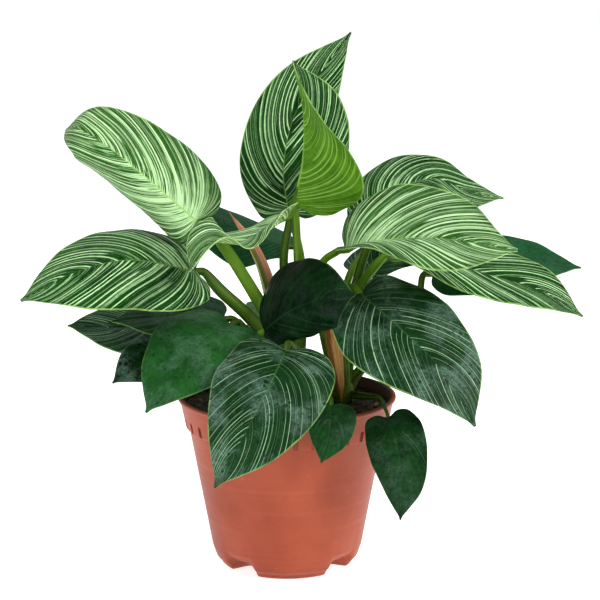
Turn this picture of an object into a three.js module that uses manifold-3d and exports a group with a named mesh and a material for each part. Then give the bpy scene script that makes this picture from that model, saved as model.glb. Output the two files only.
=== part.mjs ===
// A variegated philodendron in a plastic nursery pot: two short stems stand in the
// soil, and each leaf has a petiole that grows from a stem and a blade at its end.
// Millimetres, +Z up. The origin is the centre of the pot's flat underside.
import * as THREE from 'three';
import { mergeVertices } from 'three/addons/utils/BufferGeometryUtils.js';
import Module from 'manifold-3d';

const wasm = await Module();
wasm.setup();

// ---- driving dimensions -------------------------------------------------
const POT_HEIGHT = 110;
const RIM_RADIUS = 70;
const LIP_DEPTH = 2.2;
const COLLAR_TOP_RADIUS = 68.6;
const COLLAR_FOOT_RADIUS = 64.9;
const COLLAR_HEIGHT = 20.5;
const WALL_TOP_RADIUS = 62.8;
const WALL_FOOT_RADIUS = 48.5;
const CORNER_HEIGHT = 12;
const FOOT_RADIUS = 42.5;
const WALL = 1.5;

const FOOT_COUNT = 4;
const FOOT_TURN = 0.08;
const NOTCH_HEIGHT = 8;
const NOTCH_HALF_ANGLE = 0.17;
const NOTCH_BLEND_ANGLE = 0.11;
const NOTCH_INNER_RADIUS = 28;
const NOTCH_FADE_HEIGHT = 16;
const DRAIN_RADIUS = 2.6;
const DRAIN_RING_RADIUS = 38;

const SLOT_COUNT = 36;
const SLOT_WIDTH = 3.2;
const SLOT_HEIGHT = 8;
const SLOT_DEPTH = 1.4;

const GAP = 0.3;
const SOIL_TOP = 103.5;
const SOIL_RADIUS = 65;
const SOIL_MOUND = 2.2;
const STEM_FOOT = 76;

const BLADE_THICKNESS = 0.8;
const MARGIN_THICKNESS = 0.62;
const KEEL_AT_BASE = 1.5;
const KEEL_AT_TIP = 0.2;
const PETIOLE_RADIUS = 2.3;
const PETIOLE_FOOT_WIDENING = 1.8;
const PETIOLE_RADIUS_AT_BLADE = 2.6;
const JOINT_LENGTH = 6;

const POT_SIDES = 36;
const STEM_SIDES = 14;
const BLADE_ROWS = 10;
const PETIOLE_STEPS = 9;

// The stems. Each stands upright in its own hole in the soil.
const STEMS = {
  stem_left: { x: 3, y: 0, radius: 9, top: 122 },
  stem_right: { x: 36, y: 4, radius: 7.5, top: 119 },
};

// Half of a leaf's outline: x from the midrib out to the widest place (1), and y
// from the petiole (0) to the tip (1), with a rounded lobe behind the petiole.
const HALF_OUTLINE = [
  [0.08, 0], [0.38, -0.045], [0.76, -0.01], [0.96, 0.13], [1, 0.3],
  [0.9, 0.5], [0.64, 0.71], [0.29, 0.87], [0.08, 0.955], [0.02, 1],
];
const OUTLINE_ASPECT = 0.3;
const VEIN_SWEEP = 3.2;
const FIRST_VEIN = 0.012;
const FULL_TILT_AT = 1.5;

// Every leaf: the route of its petiole, the route of its midrib from the petiole to
// the tip, its width, and the way that its upper side faces at the base and the tip.
// Each half rises from the midrib by lift and bends by curl (degrees, base to tip).
// A shoulder under 1 narrows the half beside the petiole, as far along as its second
// number. Right and left are as seen from above with the tip ahead.
const FLAT = { lift: [8, 8], curl: [-20, -20], shoulder: [1, 0.3] };
const LEAVES = [
  {
    name: 'leaf_01', stem: 'stem_left', width: 68, stalk: 3.9, tone: 'pale',
    petiole: [[3, 0, 118], [-4, -2, 142], [-16, -8, 169], [-39, -14, 208]],
    midrib: [[-55, -15, 223], [-83, -26, 250], [-108, -34, 272], [-126, -34, 283], [-136, -11, 280]],
    face: [[0.1, -0.95, 0.35], [-0.75, -0.3, 0.65]],
    left: { lift: [0, 10], curl: [-130, -170], shoulder: [1, 0.3] },
    right: { lift: [5, 5], curl: [-35, -35], shoulder: [1, 0.3] },
  },
  {
    name: 'leaf_02', stem: 'stem_left', width: 74, stalk: 4.0, tone: 'striped',
    petiole: [[-1, -4, 116], [-9, -8, 143], [-24, -12, 163], [-41, -16, 180]],
    midrib: [[-56, -20, 193], [-95, -38, 203], [-128, -48, 197], [-160, -55, 181]],
    face: [[0.1, -0.7, 0.7], [-0.1, -0.75, 0.65]],
    left: { lift: [20, -26], curl: [-12, -4], shoulder: [1, 0.3] },
    right: { lift: [-6, -6], curl: [-32, -32], shoulder: [1, 0.3] },
  },
  {
    name: 'leaf_03', stem: 'stem_left', width: 58, stalk: 2.6, tone: 'pale',
    petiole: [[7, -4, 116], [8, -6, 159], [7, -12, 198]],
    midrib: [[2, -18, 229], [-9, -34, 223], [-26, -52, 216], [-44, -68, 218], [-56, -85, 204]],
    face: [[0, -0.3, 0.95], [-0.35, -0.9, 0.1]],
    left: { lift: [60, 50], curl: [-10, -10], shoulder: [0.5, 0.4] },
    right: { lift: [-20, -5], curl: [-20, -10], shoulder: [1, 0.3] },
  },
  {
    name: 'leaf_04', stem: 'stem_left', width: 58, stalk: 2.9, tone: 'striped',
    petiole: [[5, 4, 116], [2, 6, 157], [-2, 8, 194]],
    midrib: [[1, 8, 226], [-2, 20, 255], [8, 34, 292], [41, 40, 338]],
    face: [[-0.1, -1, 0.1], [-0.15, -1, 0.2]],
    left: { lift: [12, 12], curl: [-20, -20], shoulder: [0.8, 0.3] },
    right: { lift: [12, 12], curl: [-20, -20], shoulder: [1, 0.3] },
  },
  {
    name: 'leaf_05', stem: 'stem_left', width: 82, stalk: 3.0, tone: 'striped',
    petiole: [[8, 0, 116], [11, -2, 159], [10, -6, 197]],
    midrib: [[5, -10, 232], [11, -14, 261], [11, -18, 292], [4, -24, 323]],
    face: [[1, 0, 0.1], [0.85, -0.5, 0.1]],
    left: { lift: [92, 34], curl: [10, -60], shoulder: [0.8, 0.25] },
    right: { lift: [66, 50], curl: [-20, -10], shoulder: [0.7, 1.3] },
  },
  {
    name: 'leaf_06', stem: 'stem_left', width: 54, tone: 'dark',
    petiole: [[7, 5, 116], [7, 17, 155], [6, 25, 183]],
    midrib: [[2, 31, 201], [-20, 42, 207], [-46, 52, 216], [-81, 58, 226]],
    face: [[0, -0.7, 0.7], [0, -0.7, 0.7]],
    left: { lift: [0, 0], curl: [-20, -20], shoulder: [0.5, 0.3] },
    right: { lift: [-15, -15], curl: [-50, -50], shoulder: [0.5, 0.3] },
  },
  {
    name: 'leaf_07', stem: 'stem_right', width: 58, stalk: 2.9, tone: 'striped',
    petiole: [[34, 7, 116], [37, 16, 148], [47, 24, 186]],
    midrib: [[58, 30, 212], [74, 40, 236], [96, 48, 243], [119, 52, 234], [143, 56, 229]],
    face: [[0, -0.6, 0.8], [0.1, -0.5, 0.85]],
    left: { lift: [4, 4], curl: [-15, -15], shoulder: [1, 0.3] },
    right: { lift: [0, 0], curl: [-50, -50], shoulder: [1, 0.3] },
  },
  {
    name: 'leaf_08', stem: 'stem_right', width: 88, stalk: 2.5, tone: 'pale',
    petiole: [[32, 2, 116], [22, -6, 159], [21, -10, 193]],
    midrib: [[36, -16, 206], [54, -28, 213], [87, -46, 218], [116, -58, 216], [138, -62, 213]],
    face: [[0.3, -0.75, 0.6], [0.1, -0.65, 0.75]],
    left: { lift: [8, 8], curl: [-12, -12], shoulder: [0.7, 0.3] },
    right: { lift: [60, 2], curl: [-20, -50], shoulder: [0.3, 0.8] },
  },
  {
    name: 'leaf_09', stem: 'stem_right', width: 74, stalk: 3.2, tone: 'striped',
    petiole: [[36, 3, 116], [37, 4, 151], [48, 6, 180]],
    midrib: [[68, 10, 197], [97, 4, 196], [129, 0, 187], [160, -4, 178], [187, -8, 162]],
    face: [[0, -0.6, 0.8], [0.2, -0.6, 0.8]],
    left: { lift: [-14, 8], curl: [-55, 5], shoulder: [0.65, 0.3] },
    right: { lift: [50, 10], curl: [-25, -25], shoulder: [0.6, 0.3] },
  },
  {
    name: 'leaf_10', stem: 'stem_right', width: 62, tone: 'dark',
    petiole: [[38, 7, 112], [62, 19, 139], [84, 29, 162]],
    midrib: [[94, 36, 182], [110, 41, 187], [132, 45, 189], [160, 48, 188], [195, 52, 183]],
    face: [[0, -0.5, 0.85], [0.1, -0.5, 0.85]],
    left: FLAT,
    right: FLAT,
  },
  {
    name: 'leaf_11', stem: 'stem_right', width: 79, stalk: 2.6, tone: 'lined',
    petiole: [[35, 0, 116], [34, -10, 147], [37, -20, 172]],
    midrib: [[45, -28, 181], [70, -48, 162], [96, -66, 138], [113, -78, 109]],
    face: [[0.1, -0.75, 0.65], [0.4, -0.8, 0.45]],
    left: { lift: [-10, 8], curl: [-10, -10], shoulder: [0.9, 0.4] },
    right: { lift: [8, 2], curl: [-20, -12], shoulder: [0.85, 0.3] },
  },
  {
    name: 'leaf_12', stem: 'stem_left', width: 76, tone: 'plain',
    petiole: [[1, -4, 114], [-8, -12, 132], [-16, -20, 146]],
    midrib: [[-14, -30, 157], [2, -48, 173], [22, -64, 184], [41, -76, 189]],
    face: [[-0.35, -0.75, 0.55], [-0.2, -0.8, 0.5]],
    left: { lift: [4, 4], curl: [-30, -30], shoulder: [1, 0.3] },
    right: { lift: [0, 0], curl: [-190, -150], shoulder: [0.4, 0.9] },
  },
  {
    name: 'leaf_13', stem: 'stem_left', width: 71, tone: 'lined',
    petiole: [[4, -5, 112], [9, -22, 131], [8, -42, 146]],
    midrib: [[0, -59, 152], [-9, -87, 137], [-23, -105, 113], [-41, -114, 82]],
    face: [[-0.1, -0.85, 0.5], [-0.25, -0.9, 0.3]],
    left: { lift: [6, 6], curl: [-25, -25], shoulder: [1, 0.3] },
    right: { lift: [6, 6], curl: [-25, -25], shoulder: [1, 0.3] },
  },
  {
    name: 'leaf_14', stem: 'stem_left', width: 68, tone: 'plain',
    petiole: [[-2, -5, 114], [-15, -10, 143], [-27, -16, 157]],
    midrib: [[-34, -24, 160], [-50, -45, 155], [-69, -61, 137], [-84, -72, 116]],
    face: [[-0.3, -0.75, 0.6], [-0.4, -0.8, 0.4]],
    left: { lift: [6, 6], curl: [-20, -20], shoulder: [1, 0.3] },
    right: { lift: [6, 6], curl: [-20, -20], shoulder: [1, 0.3] },
  },
  {
    name: 'leaf_15', stem: 'stem_left', width: 50, tone: 'plain',
    petiole: [[-3, 3, 112], [-14, 8, 134], [-27, 10, 150]],
    midrib: [[-40, 10, 157], [-62, 2, 160], [-87, -6, 161], [-110, -10, 159]],
    face: [[0, -0.5, 0.85], [0, -0.5, 0.85]],
    left: FLAT,
    right: FLAT,
  },
  {
    name: 'leaf_16', stem: 'stem_left', width: 46, stalk: 1.7, tone: 'lined',
    petiole: [[-4, 6, 112], [-24, 22, 134], [-52, 22, 148]],
    midrib: [[-76, 16, 150], [-98, 10, 151], [-120, 6, 152], [-140, 2, 154]],
    face: [[0, -0.6, 0.8], [0, -0.6, 0.8]],
    left: FLAT,
    right: FLAT,
  },
  {
    name: 'leaf_17', stem: 'stem_left', width: 42, stalk: 1.7, tone: 'plain',
    petiole: [[-5, 0, 110], [-22, -5, 127], [-42, -10, 139]],
    midrib: [[-62, -14, 143], [-79, -19, 140], [-94, -22, 134], [-109, -26, 123]],
    face: [[-0.2, -0.7, 0.7], [-0.2, -0.7, 0.7]],
    left: FLAT,
    right: FLAT,
  },
  {
    name: 'leaf_18', stem: 'stem_right', width: 36, stalk: 1.2, tone: 'plain',
    petiole: [[41, 1, 109], [51, -16, 112], [58, -36, 116]],
    midrib: [[62, -60, 110], [66, -74, 99], [70, -78, 76], [69, -76, 50]],
    face: [[0, -0.95, 0.25], [0, -0.95, 0.1]],
    left: FLAT,
    right: FLAT,
  },
  {
    name: 'leaf_19', stem: 'stem_right', width: 31, stalk: 1.6, tone: 'plain',
    petiole: [[32, 0, 110], [22, -12, 119], [23, -36, 127]],
    midrib: [[27, -62, 118], [27, -76, 111], [25, -80, 100], [21, -80, 87]],
    face: [[0.1, -0.95, 0.3], [0.1, -0.95, 0.1]],
    left: FLAT,
    right: FLAT,
  },
  {
    name: 'leaf_20', stem: 'stem_right', width: 54, tone: 'dark',
    petiole: [[38, 8, 112], [43, 22, 144], [47, 32, 168]],
    midrib: [[53, 44, 180], [74, 64, 191], [98, 86, 194], [122, 104, 190]],
    face: [[0, -0.3, 0.95], [0.1, 0, 1]],
    left: FLAT,
    right: { lift: [0, 0], curl: [-110, -60], shoulder: [0.35, 1] },
  },
  {
    name: 'leaf_21', stem: 'stem_left', width: 54, tone: 'dark',
    petiole: [[4, 6, 114], [8, 18, 142], [9, 29, 159]],
    midrib: [[8, 40, 161], [-2, 72, 153], [-11, 100, 136], [-17, 118, 114]],
    face: [[0, 0.4, 0.9], [0, 0.9, 0.4]],
    left: FLAT,
    right: FLAT,
  },
  {
    name: 'leaf_22', stem: 'stem_left', width: 60, tone: 'lined',
    petiole: [[-2, 7, 112], [-14, 22, 136], [-26, 34, 144]],
    midrib: [[-36, 42, 143], [-52, 66, 134], [-70, 90, 122], [-84, 104, 107]],
    face: [[-0.3, 0.3, 0.9], [-0.4, 0.6, 0.6]],
    left: FLAT,
    right: FLAT,
  },
  {
    name: 'leaf_23', stem: 'stem_right', width: 64, tone: 'lined',
    petiole: [[38, 9, 112], [38, 24, 140], [38, 32, 150]],
    midrib: [[42, 41, 150], [63, 70, 144], [88, 92, 133], [110, 104, 117]],
    face: [[0.3, 0.3, 0.9], [0.4, 0.6, 0.6]],
    left: FLAT,
    right: FLAT,
  },
  {
    name: 'leaf_24', stem: 'stem_right', width: 46, tone: 'dark',
    petiole: [[37, 8, 113], [34, 14, 150], [42, 34, 184]],
    midrib: [[63, 60, 208], [68, 84, 220], [72, 110, 226], [76, 133, 224]],
    face: [[0, 0, 1], [0, 0.3, 0.95]],
    left: FLAT,
    right: FLAT,
  },
  {
    name: 'leaf_25', stem: 'stem_right', width: 42, tone: 'dark',
    petiole: [[39, 6, 110], [43, 12, 115], [46, 17, 119]],
    midrib: [[51, 25, 122], [60, 35, 124], [73, 47, 120], [84, 56, 106]],
    face: [[-0.1, -0.75, 0.6], [0, -0.4, 0.9]],
    left: FLAT,
    right: FLAT,
  },
];

// Two papery sheaths that wrapped a young leaf: one fresh, one dried at the soil.
const SHEATHS = [
  {
    name: 'sheath_pink', width: 17,
    midrib: [[-8, 10, 138], [-15, 8, 178], [-23, 5, 204], [-36, 2, 227]],
    face: [[0.6, -0.75, 0.2], [0.6, -0.75, 0.2]],
    color: 0xa8705c,
  },
  {
    name: 'sheath_dry', width: 17,
    midrib: [[27, -22, 158], [29, -19, 142], [32, -16, 124], [35, -14, 107.5]],
    face: [[0.1, 0.9, 0.1], [0.1, 0.9, 0.1]],
    color: 0xa8652e,
  },
];

const TONES = {
  pale: 0x9cc07c,
  striped: 0x3f7d45,
  lined: 0x1f5a36,
  plain: 0x174a2a,
  dark: 0x123c2b,
};
const POT_COLOR = 0xb85c42;
const SOIL_COLOR = 0x2a1d16;
const STEM_COLOR = 0x6b9a33;

// ---- helpers ------------------------------------------------------------
const group = new THREE.Group();

function vector(point) {
  return new THREE.Vector3(point[0], point[1], point[2] ?? 0);
}

function smooth(from, to, value) {
  return THREE.MathUtils.smoothstep(value, from, to);
}

function curveThrough(points) {
  return new THREE.CatmullRomCurve3(points.map(vector), false, 'catmullrom', 0.5);
}

// A closed geometry as a solid for joining and cutting.
function solidOf(geometry) {
  const bare = geometry.clone();
  bare.deleteAttribute('normal');
  bare.deleteAttribute('uv');
  const merged = mergeVertices(bare, 1e-4);
  return new wasm.Manifold(new wasm.Mesh({
    numProp: 3,
    vertProperties: merged.attributes.position.array,
    triVerts: new Uint32Array(merged.index.array),
  }));
}

function geometryOf(solid) {
  const mesh = solid.getMesh();
  const geometry = new THREE.BufferGeometry();
  geometry.setAttribute('position', new THREE.Float32BufferAttribute(mesh.vertProperties, 3));
  geometry.setIndex(Array.from(mesh.triVerts));
  return geometry;
}

function addPart(name, geometry, color, roughness) {
  const material = new THREE.MeshStandardMaterial({ color, roughness, metalness: 0 });
  const mesh = new THREE.Mesh(geometry, material);
  mesh.name = name;
  group.add(mesh);
}

// A lathe turned about +Z instead of three.js's +Y.
function turned(profile, sides) {
  const points = profile.map(([radius, height]) => new THREE.Vector2(radius, height));
  return new THREE.LatheGeometry(points, sides).rotateX(Math.PI / 2);
}

// ---- pot and soil -------------------------------------------------------
// How far the underside is raised at a place: four smooth notches between the feet.
function notchLift(x, y, z) {
  const spacing = 2 * Math.PI / FOOT_COUNT;
  const angle = Math.atan2(y, x) - FOOT_TURN - spacing / 2;
  const fromNotch = Math.abs(angle - spacing * Math.round(angle / spacing));
  const along = 1 - smooth(NOTCH_HALF_ANGLE, NOTCH_HALF_ANGLE + NOTCH_BLEND_ANGLE, fromNotch);
  const outward = smooth(NOTCH_INNER_RADIUS, FOOT_RADIUS - 3, Math.hypot(x, y));
  const upward = 1 - THREE.MathUtils.clamp(z / NOTCH_FADE_HEIGHT, 0, 1);
  return NOTCH_HEIGHT * along * outward * upward;
}

function raiseNotches(geometry) {
  const position = geometry.attributes.position;
  for (let i = 0; i < position.count; i += 1) {
    const [x, y, z] = [position.getX(i), position.getY(i), position.getZ(i)];
    position.setZ(i, z + notchLift(x, y, z));
  }
  return geometry;
}

function makePot() {
  const collarFoot = POT_HEIGHT - COLLAR_HEIGHT;
  const profile = [
    [0, 0], [NOTCH_INNER_RADIUS, 0], [35, 0], [FOOT_RADIUS - 1, 0], [46, 4.5],
    [WALL_FOOT_RADIUS, CORNER_HEIGHT], [WALL_TOP_RADIUS, collarFoot],
    [COLLAR_FOOT_RADIUS, collarFoot + 0.8], [COLLAR_TOP_RADIUS, POT_HEIGHT - LIP_DEPTH],
    [RIM_RADIUS, POT_HEIGHT - LIP_DEPTH + 0.4], [RIM_RADIUS - 0.3, POT_HEIGHT],
    [COLLAR_TOP_RADIUS - WALL, POT_HEIGHT],
    [COLLAR_FOOT_RADIUS - 0.3, collarFoot + SLOT_HEIGHT + 1.5],
    [COLLAR_FOOT_RADIUS - 2.1, collarFoot + 2.5],
    [WALL_TOP_RADIUS - WALL, collarFoot + 0.5], [WALL_FOOT_RADIUS - WALL, CORNER_HEIGHT],
    [44.2, 5], [40.2, WALL], [34.6, WALL], [NOTCH_INNER_RADIUS, WALL], [0, WALL],
  ];
  let pot = solidOf(raiseNotches(turned(profile, POT_SIDES)));
  // Shallow slots in the collar's lower edge, one on each flat of the turned wall.
  const collarSlope = (COLLAR_TOP_RADIUS - COLLAR_FOOT_RADIUS) / (COLLAR_HEIGHT - LIP_DEPTH);
  const flatRadius = COLLAR_FOOT_RADIUS * Math.cos(Math.PI / POT_SIDES);
  for (let i = 0; i < SLOT_COUNT; i += 1) {
    const slot = new THREE.BoxGeometry(4, SLOT_WIDTH, 2 * SLOT_HEIGHT);
    slot.translate(2 - SLOT_DEPTH, 0, 0);
    slot.rotateY(Math.atan(collarSlope));
    slot.translate(flatRadius, 0, collarFoot);
    slot.rotateZ((i + 0.5) * 2 * Math.PI / SLOT_COUNT);
    pot = pot.subtract(solidOf(slot));
  }
  for (let i = 0; i < FOOT_COUNT; i += 1) {
    const drain = new THREE.CylinderGeometry(DRAIN_RADIUS, DRAIN_RADIUS, 30, 10);
    drain.rotateX(Math.PI / 2);
    const angle = FOOT_TURN + (i + 0.5) * 2 * Math.PI / FOOT_COUNT;
    drain.translate(DRAIN_RING_RADIUS * Math.cos(angle), DRAIN_RING_RADIUS * Math.sin(angle), 0);
    pot = pot.subtract(solidOf(drain));
  }
  addPart('pot', geometryOf(pot), POT_COLOR, 0.5);
}

function makeSoil() {
  const collarFoot = POT_HEIGHT - COLLAR_HEIGHT;
  const inset = WALL + GAP;
  const profile = [
    [0, inset + 1.4], [NOTCH_INNER_RADIUS, inset + 1.4], [34, inset + 1.9],
    [38.6, inset + 2.1], [42.6, 7.2],
    [WALL_FOOT_RADIUS - inset - 0.2, CORNER_HEIGHT + 0.4], [WALL_TOP_RADIUS - inset, collarFoot + 0.8],
    [COLLAR_FOOT_RADIUS - 2.7, collarFoot + 2.8],
    [COLLAR_FOOT_RADIUS - 0.8, collarFoot + SLOT_HEIGHT + 1.5], [SOIL_RADIUS, SOIL_TOP],
    [SOIL_RADIUS - 12, SOIL_TOP + SOIL_MOUND * 0.6], [0, SOIL_TOP + SOIL_MOUND],
  ];
  let soil = solidOf(raiseNotches(turned(profile, POT_SIDES)));
  for (const stem of Object.values(STEMS)) {
    const radius = stem.radius + GAP;
    const [foot, top] = [STEM_FOOT - GAP, SOIL_TOP + 20];
    const hole = turned([[0, foot], [radius, foot], [radius, top], [0, top]], STEM_SIDES);
    soil = soil.subtract(solidOf(hole.translate(stem.x, stem.y, 0)));
  }
  addPart('soil', geometryOf(soil), SOIL_COLOR, 0.95);
}

// ---- leaves -------------------------------------------------------------
const outlineCurve = curveThrough(HALF_OUTLINE.map(([x, y]) => [x * OUTLINE_ASPECT, y]));

// The tangent, upper normal and right-hand direction of a blade at a fraction along.
function bladeFrame(leaf, curve, along) {
  const tangent = curve.getTangentAt(along);
  const normal = vector(leaf.face[0]).lerp(vector(leaf.face[1]), along);
  normal.addScaledVector(tangent, -normal.dot(tangent)).normalize();
  return { tangent, normal, right: tangent.clone().cross(normal) };
}

// A point of the blade: edge runs along the outline, and out from midrib to outline.
function bladePoint(leaf, curve, side, edge, out) {
  const rim = outlineCurve.getPointAt(edge);
  const half = side < 0 ? leaf.left : leaf.right;
  const root = FIRST_VEIN * Math.min(edge / 0.05, 1) + (1 - FIRST_VEIN) * edge ** VEIN_SWEEP;
  const [shoulder, shoulderEnd] = half.shoulder;
  const rimY = rim.y < 0 ? rim.y * shoulder ** 2 : rim.y;
  const bend = root + 0.25 * (rimY - root);
  const y = (1 - out) ** 2 * root + 2 * out * (1 - out) * bend + out * out * rimY;
  const narrowing = 1 - (1 - shoulder) * (1 - smooth(0, shoulderEnd, y));
  const reach = leaf.width / 2;
  const x = out * rim.x / OUTLINE_ASPECT * narrowing * reach;
  const along = THREE.MathUtils.clamp(y, 0, 1);
  const { tangent, normal, right } = bladeFrame(leaf, curve, along);
  const lift = THREE.MathUtils.degToRad(THREE.MathUtils.lerp(...half.lift, along));
  const curl = THREE.MathUtils.degToRad(THREE.MathUtils.lerp(...half.curl, along)) / reach;
  const turn = lift + curl * x;
  const flat = Math.abs(curl) < 1e-6;
  const across = flat ? x * Math.cos(lift) : (Math.sin(turn) - Math.sin(lift)) / curl;
  const rise = flat ? x * Math.sin(lift) : (Math.cos(lift) - Math.cos(turn)) / curl;
  const point = curve.getPointAt(along);
  point.addScaledVector(tangent, Math.min(y, 0) * curve.getLength());
  point.addScaledVector(right, side * across).addScaledVector(normal, rise);
  const tilt = turn * Math.min(x / FULL_TILT_AT, 1);
  const upper = normal.clone().multiplyScalar(Math.cos(tilt));
  upper.addScaledVector(right, -side * Math.sin(tilt));
  const thickness = THREE.MathUtils.lerp(BLADE_THICKNESS, MARGIN_THICKNESS, out);
  const keel = out > 0 ? 0 : THREE.MathUtils.lerp(KEEL_AT_BASE, KEEL_AT_TIP, along);
  return {
    top: point.clone().addScaledVector(upper, thickness / 2),
    bottom: point.clone().addScaledVector(upper, -thickness / 2 - keel),
  };
}

// One closed thin solid from a grid of paired points, with both faces split alike.
function sheetSolid(grid) {
  const rows = grid.length;
  const columns = grid[0].length;
  const positions = [];
  for (const face of ['top', 'bottom']) {
    for (const row of grid) {
      for (const pair of row) positions.push(...pair[face].toArray());
    }
  }
  const top = (i, j) => i * columns + j;
  const bottom = (i, j) => rows * columns + i * columns + j;
  const index = [];
  for (let i = 0; i < rows - 1; i += 1) {
    for (let j = 0; j < columns - 1; j += 1) {
      const [a, b, c, d] = [[i, j], [i + 1, j], [i + 1, j + 1], [i, j + 1]];
      index.push(top(...a), top(...c), top(...b), top(...a), top(...d), top(...c));
      index.push(bottom(...a), bottom(...b), bottom(...c));
      index.push(bottom(...a), bottom(...c), bottom(...d));
    }
  }
  const border = [];
  for (let j = 0; j < columns - 1; j += 1) border.push([0, j]);
  for (let i = 0; i < rows - 1; i += 1) border.push([i, columns - 1]);
  for (let j = columns - 1; j > 0; j -= 1) border.push([rows - 1, j]);
  for (let i = rows - 1; i > 0; i -= 1) border.push([i, 0]);
  border.forEach((from, k) => {
    const to = border[(k + 1) % border.length];
    index.push(top(...from), bottom(...from), bottom(...to));
    index.push(top(...from), bottom(...to), top(...to));
  });
  const geometry = new THREE.BufferGeometry();
  geometry.setAttribute('position', new THREE.Float32BufferAttribute(positions, 3));
  geometry.setIndex(index);
  return geometry;
}

function makeBlade(leaf) {
  const curve = curveThrough(leaf.midrib);
  const rolled = Math.abs(leaf.left.curl[0]) > 60 || Math.abs(leaf.right.curl[0]) > 60;
  const steps = rolled ? [1, 0.8, 0.6, 0.4, 0.2] : [1, 0.72, 0.36];
  const columns = [
    ...steps.map((out) => [-1, out]), [1, 0], ...steps.toReversed().map((out) => [1, out]),
  ];
  const grid = [];
  for (let i = 0; i <= BLADE_ROWS; i += 1) {
    const edge = i / BLADE_ROWS;
    grid.push(columns.map(([side, out]) => bladePoint(leaf, curve, side, edge, out)));
  }
  addPart(leaf.name, sheetSolid(grid), TONES[leaf.tone], 0.4);
}

// A petiole: a rounded, flat-topped stalk that widens towards its sheathing foot.
function petioleGeometry(leaf) {
  const blade = curveThrough(leaf.midrib);
  const ahead = blade.getTangentAt(0);
  const bend = blade.getPointAt(0).addScaledVector(ahead, -JOINT_LENGTH);
  const end = blade.getPointAt(0).addScaledVector(ahead, -GAP - 0.35);
  const curve = curveThrough([...leaf.petiole, bend.toArray(), end.toArray()]);
  const thin = leaf.stalk ?? PETIOLE_RADIUS;
  const section = new THREE.Shape([
    [0.9, 0.45], [0.25, 0.35], [-0.25, 0.35], [-0.9, 0.45], [-0.75, -0.6], [0, -1], [0.75, -0.6],
  ].map(([x, y]) => new THREE.Vector2(x, y)));
  const geometry = new THREE.ExtrudeGeometry(section, {
    steps: PETIOLE_STEPS, extrudePath: curve, bevelEnabled: false,
  });
  const centres = curve.getSpacedPoints(PETIOLE_STEPS);
  const position = geometry.attributes.position;
  for (let i = 0; i < position.count; i += 1) {
    const point = new THREE.Vector3().fromBufferAttribute(position, i);
    const distances = centres.map((centre) => centre.distanceTo(point));
    const nearest = distances.indexOf(Math.min(...distances));
    const rest = 1 - nearest / PETIOLE_STEPS;
    const slim = nearest < PETIOLE_STEPS ? thin : Math.min(thin, PETIOLE_RADIUS_AT_BLADE);
    const radius = slim + PETIOLE_FOOT_WIDENING * rest ** 2;
    point.sub(centres[nearest]).multiplyScalar(radius).add(centres[nearest]);
    position.setXYZ(i, ...point.toArray());
  }
  return geometry;
}

function makeStem(name, stem) {
  const profile = [
    [0, STEM_FOOT], [stem.radius - 1, STEM_FOOT], [stem.radius, STEM_FOOT + 1],
    [stem.radius, SOIL_TOP + 4], [stem.radius - 1.5, stem.top - 3], [0, stem.top],
  ];
  let solid = solidOf(turned(profile, STEM_SIDES).translate(stem.x, stem.y, 0));
  for (const leaf of LEAVES) {
    if (leaf.stem === name) solid = solid.add(solidOf(petioleGeometry(leaf)));
  }
  addPart(name, geometryOf(solid), STEM_COLOR, 0.45);
}

// A sheath is a narrow blade folded to a gutter.
function makeSheath(sheath) {
  const half = { lift: [50, 40], curl: [20, 20], shoulder: [1, 0.3] };
  const leaf = { ...sheath, left: half, right: half };
  const curve = curveThrough(leaf.midrib);
  const grid = [];
  for (let i = 0; i <= BLADE_ROWS; i += 1) {
    const row = [-1, -0.5, 0, 0.5, 1].map((across) => {
      const side = across < 0 ? -1 : 1;
      return bladePoint(leaf, curve, side, i / BLADE_ROWS, Math.abs(across));
    });
    grid.push(row);
  }
  addPart(sheath.name, sheetSolid(grid), sheath.color, 0.6);
}

makePot();
makeSoil();
for (const [name, stem] of Object.entries(STEMS)) makeStem(name, stem);
SHEATHS.forEach(makeSheath);
LEAVES.forEach(makeBlade);

export default group;
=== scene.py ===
# %% [markdown]
# # A potted variegated philodendron
# The plant is a rosette of heart-shaped leaves on long stalks, in a thin terracotta
# coloured nursery pot. The packed CAD model gives every piece its place and size, so
# this lesson only dresses it: finer surfaces, veins, stripes, soil and plastic.
# We load that model first, because every piece made later rides on it.

# %% Load the frame
import math
import random

import bmesh
import bpy
from mathutils import Matrix, Vector, noise


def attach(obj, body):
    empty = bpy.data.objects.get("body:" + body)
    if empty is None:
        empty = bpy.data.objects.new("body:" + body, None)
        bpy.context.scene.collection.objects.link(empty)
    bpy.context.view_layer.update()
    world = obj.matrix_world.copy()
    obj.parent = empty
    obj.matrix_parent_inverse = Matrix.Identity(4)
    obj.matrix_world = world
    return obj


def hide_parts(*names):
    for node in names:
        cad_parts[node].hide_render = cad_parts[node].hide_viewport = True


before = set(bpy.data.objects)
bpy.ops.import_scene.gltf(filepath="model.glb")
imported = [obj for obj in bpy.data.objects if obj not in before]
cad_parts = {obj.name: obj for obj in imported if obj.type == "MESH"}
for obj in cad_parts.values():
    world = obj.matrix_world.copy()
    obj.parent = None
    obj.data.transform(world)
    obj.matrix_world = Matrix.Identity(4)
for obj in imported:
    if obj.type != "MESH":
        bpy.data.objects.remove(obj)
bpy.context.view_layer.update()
MM = 0.001

# %% [markdown]
# ## A short way to write node trees
# Geometry and shader trees are both built in this script. Wiring dozens of Math nodes
# by hand is long to read, so a Flow wraps one output socket and turns + - * / into
# Math nodes. The tree in Blender is the same as one that is wired with the mouse.

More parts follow.
